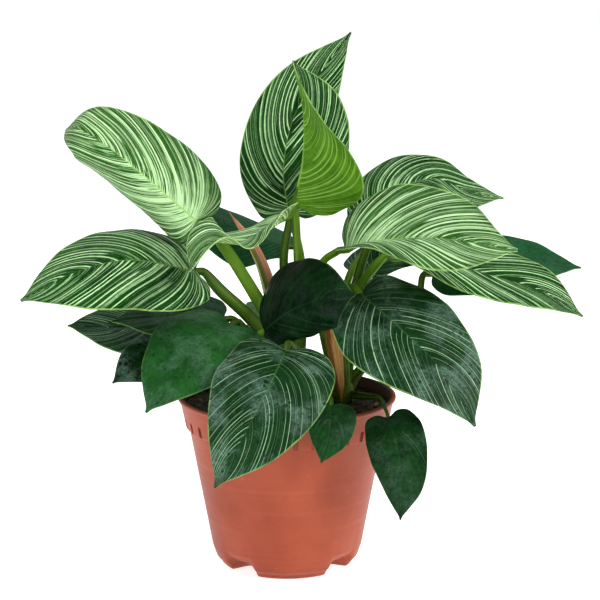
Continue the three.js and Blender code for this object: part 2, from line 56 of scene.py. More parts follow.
# %% Arithmetic on sockets
class Flow:
    """An output socket in a tree. Arithmetic on it adds Math or Vector Math nodes."""

    def __init__(self, tree, socket):
        self.tree, self.socket = tree, socket

    def join(self, operation, *others):
        vector = self.socket.type == "VECTOR"
        node = self.tree.nodes.new("ShaderNodeVectorMath" if vector else "ShaderNodeMath")
        node.operation = operation
        for place, value in enumerate((self,) + others):
            plug(node.inputs[place], value)
        number = operation in ("DOT_PRODUCT", "LENGTH")
        return Flow(self.tree, node.outputs["Value" if number or not vector else "Vector"])

    def scaled(self, factor):
        return made(self.tree, "ShaderNodeVectorMath", {"Vector": self, "Scale": factor},
                    operation="SCALE")

    def size(self):
        return self.join("ABSOLUTE")

    def at_least(self, low):
        return self.join("MAXIMUM", low)

    def at_most(self, high):
        return self.join("MINIMUM", high)

    def __add__(self, other):
        return self.join("ADD", other)

    def __sub__(self, other):
        return self.join("SUBTRACT", other)

    def __mul__(self, other):
        return self.join("MULTIPLY", other)

    def __truediv__(self, other):
        return self.join("DIVIDE", other)

    def __pow__(self, other):
        return self.join("POWER", other)

    def __rsub__(self, other):
        return (self * -1.0) + other

    def __rtruediv__(self, other):
        return (self ** -1.0) * other

    __radd__ = __add__
    __rmul__ = __mul__


def plug(socket, value):
    """Links an output to a socket, or types a plain value into it."""
    if isinstance(value, Flow):
        value.tree.links.new(value.socket, socket)
    else:
        socket.default_value = value


print("a Flow joins sockets by", [n for n in vars(Flow) if not n.startswith("_")])

# %% Helpers for nodes and trees
def find_socket(sockets, name):
    """By identifier where one fits, because several sockets may share a name."""
    matches = [s for s in sockets if s.identifier == name]
    return matches[0] if matches else sockets[name]


def add_node(tree, kind, inputs=None, **settings):
    node = tree.nodes.new(kind)
    for name, value in settings.items():
        setattr(node, name, value)
    for name, value in (inputs or {}).items():
        plug(find_socket(node.inputs, name), value)
    return node


def out_of(node, name=0):
    return Flow(node.id_data, find_socket(node.outputs, name))


def made(tree, kind, inputs=None, output=0, **settings):
    """One output of a new node."""
    return out_of(add_node(tree, kind, inputs, **settings), output)


def ramp(value, low, high, start=0.0, end=1.0):
    """Goes smoothly from start to end while value goes from low to high."""
    return made(value.tree, "ShaderNodeMapRange", {
        "Value": value, "From Min": low, "From Max": high, "To Min": start, "To Max": end,
    }, interpolation_type="SMOOTHSTEP")


def between(start, end, share):
    """The number that lies a share of the way from start to end."""
    return start + (end - start) * share


def split_vector(vector):
    node = add_node(vector.tree, "ShaderNodeSeparateXYZ")
    plug(node.inputs[0], vector)
    return [out_of(node, axis) for axis in range(3)]


def combined(tree, *numbers):
    node = add_node(tree, "ShaderNodeCombineXYZ")
    for axis, number in enumerate(numbers):
        plug(node.inputs[axis], number)
    return out_of(node)


def new_tree(name, kind, inputs, outputs):
    """A node group with named sockets: inputs are (name, type, default)."""
    tree = bpy.data.node_groups.new(name, kind)
    for label, socket_type, default in inputs:
        socket = tree.interface.new_socket(
            label, in_out="INPUT", socket_type="NodeSocket" + socket_type)
        if default is not None:
            socket.default_value = default
    for label, socket_type in outputs:
        tree.interface.new_socket(
            label, in_out="OUTPUT", socket_type="NodeSocket" + socket_type)
    entry = tree.nodes.new("NodeGroupInput")
    sockets = {label: out_of(entry, label) for label, _, _ in inputs}
    return tree, sockets, tree.nodes.new("NodeGroupOutput")


def put_out(end, *values):
    """Links values to the outputs of a tree, in their order."""
    for socket, value in zip(end.inputs, values):
        plug(socket, value)
    print(end.id_data.name, "tree,", len(end.id_data.nodes), "nodes")


# %% [markdown]
# ### What geometry trees share
# Some of the geometry trees store values on the mesh for the paint to read, and all of
# them close in the same way: copies are made real, because the export drops instances,
# and the material goes on.

# %% Helpers for geometry trees
GEOMETRY = ("Geometry", "Geometry", None)
MATERIAL = ("Material", "Material", None)


def geometry_tree(name, inputs):
    return new_tree(name, "GeometryNodeTree", [GEOMETRY, *inputs, MATERIAL],
                    [("Geometry", "Geometry")])


def end_tree(end, geometry, material):
    """Closes a geometry tree: real copies only, with one material on them."""
    real = made(geometry.tree, "GeometryNodeRealizeInstances", {"Geometry": geometry})
    put_out(end, made(geometry.tree, "GeometryNodeSetMaterial", {
        "Geometry": real, "Material": material}))


def store(geometry, name, value, kind="FLOAT", domain="POINT", **inputs):
    node = add_node(geometry.tree, "GeometryNodeStoreNamedAttribute", {
        "Geometry": geometry, "Name": name, **inputs}, data_type=kind, domain=domain)
    value_sockets = [s for s in node.inputs if s.name == "Value" and s.enabled]
    plug(value_sockets[0], value)
    return out_of(node)


def named(tree, name, kind="FLOAT"):
    return made(tree, "GeometryNodeInputNamedAttribute", {"Name": name}, "Attribute",
                data_type=kind)


def shape_of(thing):
    """The geometry of an object that comes in through an input."""
    return made(thing.tree, "GeometryNodeObjectInfo", {"Object": thing}, "Geometry")


def curve_of(mesh):
    return made(mesh.tree, "GeometryNodeMeshToCurve", {"Mesh": mesh})


def sharp_edges_kept(geometry, angle):
    """Smooth shading, but not over edges that turn by more than the angle."""
    tree = geometry.tree
    smooth = made(tree, "GeometryNodeSetShadeSmooth", {
        "Geometry": geometry, "Shade Smooth": True})
    turned = made(tree, "GeometryNodeInputMeshEdgeAngle")
    return made(tree, "GeometryNodeSetShadeSmooth", {
        "Geometry": smooth, "Selection": turned.join("GREATER_THAN", angle),
        "Shade Smooth": False}, domain="EDGE")


# %% [markdown]
# ## From modifier to plain mesh
# A Geometry Nodes tree runs as a modifier. Its inputs are set by the identifier of
# each socket before the object is evaluated. The evaluated result then becomes a plain
# mesh, so that nothing live is left on the finished piece.

# %% Helpers for pieces
def mesh_of(name, points, edges=(), faces=(), **attributes):
    """A mesh that has a value of each attribute, a number or a vector, at every point."""
    mesh = bpy.data.meshes.new(name)
    mesh.from_pydata(points, edges, faces)
    for label, values in attributes.items():
        vector = isinstance(values[0], Vector)
        layer = mesh.attributes.new(label, "FLOAT_VECTOR" if vector else "FLOAT", "POINT")
        flat = [c for v in values for c in v] if vector else values
        layer.data.foreach_set("vector" if vector else "value", flat)
    return mesh


def polyline(points, **attributes):
    """A mesh of edges through the points."""
    steps = [(i, i + 1) for i in range(len(points) - 1)]
    return mesh_of("path", points, steps, **attributes)


def mesh_from(builder, name):
    mesh = bpy.data.meshes.new(name)
    builder.to_mesh(mesh)
    builder.free()
    return mesh


def link_object(name, data):
    thing = bpy.data.objects.new(name, data)
    bpy.context.scene.collection.objects.link(thing)
    return thing


def baked(piece, modifier):
    """The piece's mesh with the modifier worked in; the modifier is then removed."""
    depsgraph = bpy.context.evaluated_depsgraph_get()
    mesh = bpy.data.meshes.new_from_object(piece.evaluated_get(depsgraph))
    piece.modifiers.remove(modifier)
    return mesh


def run_tree(name, source, tree, values):
    """Runs a geometry tree on a source mesh and returns the result as a new piece."""
    carrier = link_object(name + "_source", source)
    modifier = carrier.modifiers.new("tree", "NODES")
    modifier.node_group = tree
    for item in tree.interface.items_tree:
        if item.in_out == "INPUT" and item.name in values:
            modifier[item.identifier] = values[item.name]
    mesh = baked(carrier, modifier)
    mesh.name = name
    bpy.data.objects.remove(carrier)
    return link_object(name, mesh)


def join_pieces(piece, *others):
    with bpy.context.temp_override(
            active_object=piece, selected_editable_objects=[piece, *others]):
        bpy.ops.object.join()


def volume_of(mesh):
    probe = bmesh.new()
    probe.from_mesh(mesh)
    open_edges = sum(1 for edge in probe.edges if not edge.is_manifold)
    volume = probe.calc_volume(signed=True)
    probe.free()
    return volume, open_edges


def finish_piece(piece, nodes):
    """Seats a finished piece on the body and lets it stand for its CAD nodes."""
    volume, open_edges = volume_of(piece.data)
    if volume < 0:
        piece.data.flip_normals()
    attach(piece, "root")
    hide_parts(*nodes)
    faces = len(piece.data.polygons)
    print(f"{piece.name}: {faces} faces, {volume * 1e6:.2f} cm3, open edges {open_edges}")


# %% [markdown]
# ## The curves that everything follows
# A leaf's midrib and a leaf stalk are smooth curves through a few points. The CAD model
# uses Catmull-Rom curves, so this lesson does too: the same points then give the same
# route. Points are spaced evenly by length, as a tree's Sample Curve expects.

# %% Smooth curves through points
def hermite(a, b, c, d, t):
    """A Catmull-Rom span from b to c."""
    start, end = (c - a) * 0.5, (d - b) * 0.5
    square, cube = t * t, t * t * t
    return (b + start * t + (c * 3 - b * 3 - start * 2 - end) * square
            + (b * 2 - c * 2 + start + end) * cube)


def smooth_path(points, count, dense=40):
    """Evenly spaced points on the curve through the given points."""
    knots = [Vector(p) for p in points]
    knots = [knots[0] * 2 - knots[1]] + knots + [knots[-1] * 2 - knots[-2]]
    fine = []
    for k in range(1, len(knots) - 2):
        fine += [hermite(*knots[k - 1:k + 3], i / dense) for i in range(dense)]
    fine.append(knots[-2])
    lengths = [0.0]
    for a, b in zip(fine, fine[1:]):
        lengths.append(lengths[-1] + (b - a).length)
    path, k = [], 0
    for i in range(count):
        goal = lengths[-1] * i / (count - 1)
        while k < len(fine) - 2 and lengths[k + 1] < goal:
            k += 1
        span = lengths[k + 1] - lengths[k]
        path.append(fine[k].lerp(fine[k + 1], (goal - lengths[k]) / span))
    return path


def length_of(path):
    return sum((b - a).length for a, b in zip(path, path[1:]))


def smooth_share(low, high, value):
    """0 below low, 1 above high, and a soft step between."""
    t = min(max((value - low) / (high - low), 0.0), 1.0)
    return t * t * (3 - 2 * t)


def directions(path):
    steps = [(b - a).normalized() for a, b in zip(path, path[1:])]
    return [(a + b).normalized() for a, b in zip(steps[:1] + steps, steps + steps[-1:])]


print("a span's middle", smooth_path([(0, 0, 0), (1, 1, 0), (2, 0, 0)], 3)[1][:])

# %% [markdown]
# ## The leaves, one by one
# No two leaves of a real plant lie alike, so their places are listed one by one, in
# millimetres: the stalk's route, the midrib's route, the width, and how the upper side
# faces at the base and the tip. Each half of a blade rises from the midrib (lift) and
# bends (curl), in degrees from base to tip. A shoulder under 1 narrows the half beside
# the stalk, up to the second number. Tone names the finish, unless a leaf has a finish
# of its own. Cream is how much of the leaf has lost its green, and dust is the dull
# bloom of an old leaf, partly real dust and partly a painted grey sheen.

# %% Leaf table
# The lift, curl and shoulder of a half that the table leaves out.
FLAT = ((8, 8), (-20, -20), (1, 0.3))
LEAVES = {
    "leaf_01": dict(
        tone="pale", width=68, stalk=3.9, cream=0.53, dust=0.1, seed=1.3,
        petiole=[(3, 0, 118), (-4, -2, 142), (-16, -8, 169), (-39, -14, 208)],
        midrib=[(-55, -15, 223), (-83, -26, 250), (-108, -34, 272), (-126, -34, 283),
                (-136, -11, 280)],
        face=[(0.1, -0.95, 0.35), (-0.75, -0.3, 0.65)],
        left=((0, 10), (-130, -170), (1, 0.3)), right=((5, 5), (-35, -35), (1, 0.3))),
    "leaf_02": dict(
        tone="striped", width=74, stalk=4.0, cream=0.42, dust=0.1, seed=2.7,
        petiole=[(-1, -4, 116), (-9, -8, 143), (-24, -12, 163), (-41, -16, 180)],
        midrib=[(-56, -20, 193), (-95, -38, 203), (-128, -48, 197), (-160, -55, 181)],
        face=[(0.1, -0.7, 0.7), (-0.1, -0.75, 0.65)],
        left=((20, -26), (-12, -4), (1, 0.3)), right=((-6, -6), (-32, -32), (1, 0.3))),
    "leaf_03": dict(
        tone="pale", width=58, stalk=2.6, cream=0.5, dust=0.0, seed=3.1,
        petiole=[(7, -4, 116), (8, -6, 159), (7, -12, 198)],
        midrib=[(2, -18, 229), (-9, -34, 223), (-26, -52, 216), (-44, -68, 218),
                (-56, -85, 204)],
        face=[(0, -0.3, 0.95), (-0.35, -0.9, 0.1)],
        left=((60, 50), (-10, -10), (0.5, 0.4)), right=((-20, -5), (-20, -10), (1, 0.3))),
    "leaf_04": dict(
        tone="striped", width=58, stalk=2.9, cream=0.22, dust=0.0, seed=4.9,
        petiole=[(5, 4, 116), (2, 6, 157), (-2, 8, 194)],
        midrib=[(1, 8, 226), (-2, 20, 255), (8, 34, 292), (41, 40, 338)],
        face=[(-0.1, -1, 0.1), (-0.15, -1, 0.2)],
        left=((12, 12), (-20, -20), (0.8, 0.3)), right=((12, 12), (-20, -20), (1, 0.3))),
    "leaf_05": dict(
        tone="striped", width=82, stalk=3.0, cream=0.2, dust=0.0, seed=5.3,
        petiole=[(8, 0, 116), (11, -2, 159), (10, -6, 197)],
        midrib=[(5, -10, 232), (11, -14, 261), (11, -18, 292), (4, -24, 323)],
        face=[(1, 0, 0.1), (0.85, -0.5, 0.1)],
        left=((92, 34), (10, -60), (0.8, 0.25)), right=((66, 50), (-20, -10), (0.7, 1.3))),
    "leaf_06": dict(
        tone="dark", width=54, cream=0.7, dust=0.1, seed=6.1,
        petiole=[(7, 5, 116), (7, 17, 155), (6, 25, 183)],
        midrib=[(2, 31, 201), (-20, 42, 207), (-46, 52, 216), (-81, 58, 226)],
        face=[(0, -0.7, 0.7), (0, -0.7, 0.7)],
        left=((0, 0), (-20, -20), (0.5, 0.3)), right=((-15, -15), (-50, -50), (0.5, 0.3))),
    "leaf_07": dict(
        tone="striped", width=58, stalk=2.9, cream=0.46, dust=0.0, seed=7.7,
        petiole=[(34, 7, 116), (37, 16, 148), (47, 24, 186)],
        midrib=[(58, 30, 212), (74, 40, 236), (96, 48, 243), (119, 52, 234), (143, 56, 229)],
        face=[(0, -0.6, 0.8), (0.1, -0.5, 0.85)],
        left=((4, 4), (-15, -15), (1, 0.3)), right=((0, 0), (-50, -50), (1, 0.3))),
    "leaf_08": dict(
        tone="pale", width=88, stalk=2.5, cream=0.52, dust=0.0, seed=8.3,
        petiole=[(32, 2, 116), (22, -6, 159), (21, -10, 193)],
        midrib=[(36, -16, 206), (54, -28, 213), (87, -46, 218), (116, -58, 216),
                (138, -62, 213)],
        face=[(0.3, -0.75, 0.6), (0.1, -0.65, 0.75)],
        left=((8, 8), (-12, -12), (0.7, 0.3)), right=((60, 2), (-20, -50), (0.3, 0.8))),
    "leaf_09": dict(
        tone="striped", width=74, stalk=3.2, cream=0.42, dust=0.1, seed=9.1,
        petiole=[(36, 3, 116), (37, 4, 151), (48, 6, 180)],
        midrib=[(68, 10, 197), (97, 4, 196), (129, 0, 187), (160, -4, 178), (187, -8, 162)],
        face=[(0, -0.6, 0.8), (0.2, -0.6, 0.8)],
        left=((-14, 8), (-55, 5), (0.65, 0.3)), right=((50, 10), (-25, -25), (0.6, 0.3))),
    "leaf_10": dict(
        tone="dark", width=62, cream=0.9, dust=0.3, seed=10.7,
        petiole=[(38, 7, 112), (62, 19, 139), (84, 29, 162)],
        midrib=[(94, 36, 182), (110, 41, 187), (132, 45, 189), (160, 48, 188),
                (195, 52, 183)],
        face=[(0, -0.5, 0.85), (0.1, -0.5, 0.85)]),
    "leaf_11": dict(
        tone="lined", width=79, stalk=2.6, cream=0.4, dust=0.6, seed=11.9,
        petiole=[(35, 0, 116), (34, -10, 147), (37, -20, 172)],
        midrib=[(45, -28, 181), (70, -48, 162), (96, -66, 138), (113, -78, 109)],
        face=[(0.1, -0.75, 0.65), (0.4, -0.8, 0.45)],
        left=((-10, 8), (-10, -10), (0.9, 0.4)), right=((8, 2), (-20, -12), (0.85, 0.3))),
    "leaf_12": dict(
        tone="plain", width=76, cream=0.0, dust=0.1, seed=12.2,
        petiole=[(1, -4, 114), (-8, -12, 132), (-16, -20, 146)],
        midrib=[(-14, -30, 157), (2, -48, 173), (22, -64, 184), (41, -76, 189)],
        face=[(-0.35, -0.75, 0.55), (-0.2, -0.8, 0.5)],
        left=((4, 4), (-30, -30), (1, 0.3)), right=((0, 0), (-190, -150), (0.4, 0.9))),
    "leaf_13": dict(
        tone="lined", width=71, cream=0.45, dust=0.7, seed=13.4,
        petiole=[(4, -5, 112), (9, -22, 131), (8, -42, 146)],
        midrib=[(0, -59, 152), (-9, -87, 137), (-23, -105, 113), (-41, -114, 82)],
        face=[(-0.1, -0.85, 0.5), (-0.25, -0.9, 0.3)],
        left=((6, 6), (-25, -25), (1, 0.3)), right=((6, 6), (-25, -25), (1, 0.3))),
    "leaf_14": dict(
        tone="plain", width=68, cream=0.75, dust=0.45, seed=14.6,
        petiole=[(-2, -5, 114), (-15, -10, 143), (-27, -16, 157)],
        midrib=[(-34, -24, 160), (-50, -45, 155), (-69, -61, 137), (-84, -72, 116)],
        face=[(-0.3, -0.75, 0.6), (-0.4, -0.8, 0.4)],
        left=((6, 6), (-20, -20), (1, 0.3)), right=((6, 6), (-20, -20), (1, 0.3))),
    "leaf_15": dict(
        tone="plain", width=50, cream=0.2, dust=0.3, seed=15.1,
        petiole=[(-3, 3, 112), (-14, 8, 134), (-27, 10, 150)],
        midrib=[(-40, 10, 157), (-62, 2, 160), (-87, -6, 161), (-110, -10, 159)],
        face=[(0, -0.5, 0.85), (0, -0.5, 0.85)]),
    "leaf_16": dict(
        tone="lined", width=46, stalk=1.7, cream=0.5, dust=0.2, seed=16.8,
        petiole=[(-4, 6, 112), (-24, 22, 134), (-52, 22, 148)],
        midrib=[(-76, 16, 150), (-98, 10, 151), (-120, 6, 152), (-140, 2, 154)],
        face=[(0, -0.6, 0.8), (0, -0.6, 0.8)]),
    "leaf_17": dict(
        tone="plain", width=42, stalk=1.7, cream=0.05, dust=0.8, seed=17.5,
        petiole=[(-5, 0, 110), (-22, -5, 127), (-42, -10, 139)],
        midrib=[(-62, -14, 143), (-79, -19, 140), (-94, -22, 134), (-109, -26, 123)],
        face=[(-0.2, -0.7, 0.7), (-0.2, -0.7, 0.7)]),
    "leaf_18": dict(
        tone="plain", width=36, stalk=1.2, cream=0.15, dust=0.2, seed=18.3,
        petiole=[(41, 1, 109), (51, -16, 112), (58, -36, 116)],
        midrib=[(62, -60, 110), (66, -74, 99), (70, -78, 76), (69, -76, 50)],
        face=[(0, -0.95, 0.25), (0, -0.95, 0.1)]),
    "leaf_19": dict(
        tone="plain", width=31, stalk=1.6, cream=0.3, dust=0.2, seed=19.9,
        petiole=[(32, 0, 110), (22, -12, 119), (23, -36, 127)],
        midrib=[(27, -62, 118), (27, -76, 111), (25, -80, 100), (21, -80, 87)],
        face=[(0.1, -0.95, 0.3), (0.1, -0.95, 0.1)]),
    "leaf_20": dict(
        tone="dark", finish="lined", width=54, cream=0.6, dust=0.2, seed=20.4,
        petiole=[(38, 8, 112), (43, 22, 144), (47, 32, 168)],
        midrib=[(53, 44, 180), (74, 64, 191), (98, 86, 194), (122, 104, 190)],
        face=[(0, -0.3, 0.95), (0.1, 0, 1)],
        right=((0, 0), (-110, -60), (0.35, 1))),
    "leaf_21": dict(
        tone="dark", width=54, cream=0.5, dust=0.2, seed=21.2,
        petiole=[(4, 6, 114), (8, 18, 142), (9, 29, 159)],
        midrib=[(8, 40, 161), (-2, 72, 153), (-11, 100, 136), (-17, 118, 114)],
        face=[(0, 0.4, 0.9), (0, 0.9, 0.4)]),
    "leaf_22": dict(
        tone="lined", width=60, cream=0.3, dust=0.3, seed=22.6,
        petiole=[(-2, 7, 112), (-14, 22, 136), (-26, 34, 144)],
        midrib=[(-36, 42, 143), (-52, 66, 134), (-70, 90, 122), (-84, 104, 107)],
        face=[(-0.3, 0.3, 0.9), (-0.4, 0.6, 0.6)]),
    "leaf_23": dict(
        tone="lined", width=64, cream=0.4, dust=0.3, seed=23.7,
        petiole=[(38, 9, 112), (38, 24, 140), (38, 32, 150)],
        midrib=[(42, 41, 150), (63, 70, 144), (88, 92, 133), (110, 104, 117)],
        face=[(0.3, 0.3, 0.9), (0.4, 0.6, 0.6)]),
    "leaf_24": dict(
        tone="dark", width=46, cream=0.6, dust=0.1, seed=24.5,
        petiole=[(37, 8, 113), (34, 14, 150), (42, 34, 184)],
        midrib=[(63, 60, 208), (68, 84, 220), (72, 110, 226), (76, 133, 224)],
        face=[(0, 0, 1), (0, 0.3, 0.95)]),
    "leaf_25": dict(
        tone="dark", width=42, cream=0.0, dust=0.1, seed=25.8,
        petiole=[(39, 6, 110), (43, 12, 115), (46, 17, 119)],
        midrib=[(51, 25, 122), (60, 35, 124), (73, 47, 120), (84, 56, 106)],
        face=[(-0.1, -0.75, 0.6), (0, -0.4, 0.9)]),
}
ON_RIGHT_STEM = ["leaf_07", "leaf_08", "leaf_09", "leaf_10", "leaf_11", "leaf_18",
                 "leaf_19", "leaf_20", "leaf_23", "leaf_24", "leaf_25"]
GUTTER = ((50, 40), (20, 20), (1, 0.3))
SHEATHS = {
    "sheath_pink": dict(
        tone="pink", width=17, cream=0.0, dust=0.0, seed=31.4,
        midrib=[(-8, 10, 138), (-15, 8, 178), (-23, 5, 204), (-36, 2, 227)],
        face=[(0.6, -0.75, 0.2), (0.6, -0.75, 0.2)], left=GUTTER, right=GUTTER),
    "sheath_dry": dict(
        tone="dry", width=17, cream=0.0, dust=0.0, seed=32.8,
        midrib=[(27, -22, 158), (29, -19, 142), (32, -16, 124), (35, -14, 107.5)],
        face=[(0.1, 0.9, 0.1), (0.1, 0.9, 0.1)], left=GUTTER, right=GUTTER),
}
print("leaves", len(LEAVES), "sheaths", len(SHEATHS))

# %% [markdown]
# ## The outline of a half blade
# Half of the heart is one smooth curve: out from the stalk, round a low lobe, and in
# to a drawn-out tip. It is drawn once, as a guide that every leaf samples. A guide is a
# mesh of edges, and it is removed when the leaves are done.

# %% Outline guide
HALF_OUTLINE = [
    (0.08, 0), (0.38, -0.045), (0.76, -0.01), (0.96, 0.13), (1, 0.3),
    (0.9, 0.5), (0.64, 0.71), (0.29, 0.87), (0.08, 0.955), (0.02, 1),
]
OUTLINE_ASPECT, OUTLINE_POINTS = 0.3, 240
outline_path = smooth_path(
    [(x * OUTLINE_ASPECT, y, 0) for x, y in HALF_OUTLINE], OUTLINE_POINTS)
outline_guide = link_object("outline_guide", polyline(outline_path))
print("outline length", round(length_of(outline_path), 3))

# %% [markdown]
# ## A tree that grows a blade
# A blade could be sculpted, but a rule suits it: each row of a flat grid becomes one
# side vein, which leaves the midrib at a slant and bends to the margin. Rows and
# columns are then carried out to the curled surface. The grid is closed into a thin
# sheet by extruding it and turning a copy over, so both faces and the edge are real.
# The tree also stores where each point lies on the leaf, for the veins in the paint.

# %% Blade tree: inputs and the flat grid
HALF_LABELS = ("Lift Base", "Lift Tip", "Curl Base", "Curl Tip", "Shoulder", "Shoulder End")
BLADE_INPUTS = [
    ("Outline", "Object", None), ("Rows", "Int", 91), ("Columns", "Int", 49),
    ("Width", "Float", 0.06), ("Thickness", "Float", 0.0008),
    ("Margin Thickness", "Float", 0.00062), ("Keel Base", "Float", 0.0015),
    ("Keel Tip", "Float", 0.0002), ("Wave", "Float", 0.0006), ("Quilting", "Float", 0.0002),
    ("Seed", "Float", 0.0), ("Cream", "Float", 0.0), ("Dust", "Float", 0.0),
]
for half in ("Left", "Right"):
    BLADE_INPUTS += [(half + " " + label, "Float", 0.0) for label in HALF_LABELS]
blade_tree, leaf_in, blade_out = geometry_tree("grow_blade", BLADE_INPUTS)
COLUMN_CROWDING = 1.35  # over 1, columns stand closer beside the midrib

grid_x, grid_y, _ = split_vector(made(blade_tree, "GeometryNodeInputPosition"))
edge = grid_x + 0.5
signed = grid_y * -2.0
side = signed.join("SIGN")
out = signed.size() ** COLUMN_CROWDING
inward = 1.0 - out
is_right = signed.join("GREATER_THAN", 0.0)


def by_half(label):
    return between(leaf_in["Left " + label], leaf_in["Right " + label], is_right)


print("blade inputs", len(leaf_in))

# %% [markdown]
# ### Where each grid point goes
# The side vein is a curve with three control points: where it leaves the midrib, a
# bend, and where it meets the margin. Lift and curl then roll the half about the
# midrib, as an arc of even bend, which keeps the width of the leaf true.

# %% Blade tree: the side vein
FIRST_VEIN, BASE_ZONE = 0.012, 0.05
VEIN_SWEEP, VEIN_BEND, LOBE_BEND = 3.2, 0.3, 0.25


def sampled(curve, value, factor):
    """Place, direction and value at a share of the curve's length."""
    node = add_node(curve.tree, "GeometryNodeSampleCurve", {
        "Curves": curve, "Value": value, "Factor": factor,
    }, mode="FACTOR", data_type="FLOAT_VECTOR")
    return [out_of(node, name) for name in ("Position", "Tangent", "Value")]


rim, _, _ = sampled(curve_of(shape_of(leaf_in["Outline"])), (0, 0, 0), edge)
rim_x, rim_y, _ = split_vector(rim)
root = ((edge / BASE_ZONE).at_most(1.0) * FIRST_VEIN
        + edge ** VEIN_SWEEP * (1 - FIRST_VEIN))
shoulder = by_half("Shoulder")
rim_y = rim_y.at_most(0.0) * shoulder * shoulder + rim_y.at_least(0.0)
ahead_of_root = rim_y - root
bend = (root + ahead_of_root.at_least(0.0) * VEIN_BEND
        + ahead_of_root.at_most(0.0) * LOBE_BEND)
vein_y = inward * inward * root + out * inward * bend * 2.0 + out * out * rim_y
narrowing = 1.0 - (1.0 - shoulder) * (1.0 - ramp(vein_y, 0.0, by_half("Shoulder End")))
half_width = leaf_in["Width"] * 0.5
x = out * rim_x / OUTLINE_ASPECT * narrowing * half_width
along = vein_y.at_least(0.0).at_most(1.0)
print("side vein, nodes so far", len(blade_tree.nodes))

# %% Blade tree: the curled surface
TILT_EASE = 0.0015
midrib_curve = curve_of(leaf_in["Geometry"])
midrib_length = made(blade_tree, "GeometryNodeCurveLength", {"Curve": midrib_curve})
spot, tangent, facing = sampled(
    midrib_curve, named(blade_tree, "face", "FLOAT_VECTOR"), along)
normal = (facing - tangent.scaled(facing.join("DOT_PRODUCT", tangent))).join("NORMALIZE")
right = tangent.join("CROSS_PRODUCT", normal)
lift = between(by_half("Lift Base"), by_half("Lift Tip"), along)
curl = between(by_half("Curl Base"), by_half("Curl Tip"), along) / half_width
turn = lift + curl * x
across = (turn.join("SINE") - lift.join("SINE")) / curl
rise = (lift.join("COSINE") - turn.join("COSINE")) / curl
tilt = turn * (x / TILT_EASE).at_most(1.0)
upper = normal.scaled(tilt.join("COSINE")) - right.scaled(side * tilt.join("SINE"))
surface = (spot + tangent.scaled(vein_y.at_most(0.0) * midrib_length)
           + right.scaled(side * across) + normal.scaled(rise))
print("surface, nodes so far", len(blade_tree.nodes))

# %% [markdown]
# ### Waves, quilting and the midrib
# A flat sheet of even thickness looks like paper. A real blade is softly quilted
# between its side veins, wavy at the margin, and carries a midrib that is sunk in the
# upper face and stands out as a keel below. These are all shifts along the upper
# direction, so they are worked out as numbers first and added once. Near the margin a
# vein bends on towards the tip, so the vein number that quilting and paint follow
# flows with it.

# %% Blade tree: relief and thickness
SIDE_VEINS, MARGIN_FLOW = 82.0, 0.08
LONG_WAVE, SHORT_WAVE = 17.0, 39.0
RIDGE_BASE, RIDGE_TIP, GROOVE_SHARE, GROOVE_DEPTH = 0.0019, 0.0006, 0.75, 0.00022
flow = edge - out * out * MARGIN_FLOW
seed = leaf_in["Seed"]
quilt = ((flow * SIDE_VEINS + seed * 3.0 + side * 0.8).join("SINE")
         * out * inward * 4.0 * leaf_in["Quilting"])
wave = ((edge * LONG_WAVE + seed * 5.0 + side * 2.0).join("SINE")
        + (edge * SHORT_WAVE + seed * 9.0 - side).join("SINE") * 0.4)
wave = wave * out * out * edge * (1.0 - edge) * 4.0 * leaf_in["Wave"]
surface = surface + upper.scaled(quilt + wave)
thickness = between(leaf_in["Thickness"], leaf_in["Margin Thickness"], out)
across_ridge = x / between(RIDGE_BASE, RIDGE_TIP, along)
ridge = 1.0 - ramp(across_ridge, 0.0, 1.0)
keel = between(leaf_in["Keel Base"], leaf_in["Keel Tip"], along) * ridge
groove = (1.0 - ramp(across_ridge, 0.0, GROOVE_SHARE)) * GROOVE_DEPTH
top_place = surface + upper.scaled(thickness * 0.5 - groove)
bottom_place = surface - upper.scaled(thickness * 0.5 + keel)
print("relief, nodes so far", len(blade_tree.nodes))

# %% Blade tree: closing the sheet
SHARP_MARGIN = 0.9
grid = made(blade_tree, "GeometryNodeMeshGrid", {
    "Size X": 1.0, "Size Y": 1.0, "Vertices X": leaf_in["Rows"],
    "Vertices Y": leaf_in["Columns"]})
for name, value in {"vein": flow, "across": side * out, "underside": 1.0, "leaf_seed": seed,
                    "cream": leaf_in["Cream"], "dust": leaf_in["Dust"]}.items():
    grid = store(grid, name, value)
grid = store(grid, "top_place", top_place, "FLOAT_VECTOR")
below = made(blade_tree, "GeometryNodeSetPosition", {
    "Geometry": grid, "Position": bottom_place})
extruded = add_node(blade_tree, "GeometryNodeExtrudeMesh", {
    "Mesh": below, "Offset Scale": 0.0, "Individual": False}, mode="FACES")
is_top = out_of(extruded, "Top")
sheet = store(out_of(extruded, "Mesh"), "underside", 0.0, Selection=is_top)
sheet = made(blade_tree, "GeometryNodeSetPosition", {
    "Geometry": sheet, "Selection": is_top,
    "Position": named(blade_tree, "top_place", "FLOAT_VECTOR")})
turned_over = made(blade_tree, "GeometryNodeFlipFaces", {"Mesh": below})
both = add_node(blade_tree, "GeometryNodeJoinGeometry")
for part in (sheet, turned_over):
    plug(both.inputs[0], part)
closed = made(blade_tree, "GeometryNodeMergeByDistance", {
    "Geometry": out_of(both), "Distance": 1e-6})
closed = made(blade_tree, "GeometryNodeRemoveAttribute", {
    "Geometry": closed, "Name": "top_place"})
end_tree(blade_out, sharp_edges_kept(closed, SHARP_MARGIN), leaf_in["Material"])

# %% [markdown]
# ## Paint for leaves
# Variegation is not a picture laid on the leaf: cream cells form lines that run
# with the side veins. A Voronoi texture in one dimension gives such lines, because its
# random cells differ in width and strength, and the stored vein number bends them
# along the leaf. Effects that several leaves share are node groups: they put out masks
# and heights, and each material mixes its own colours with them.

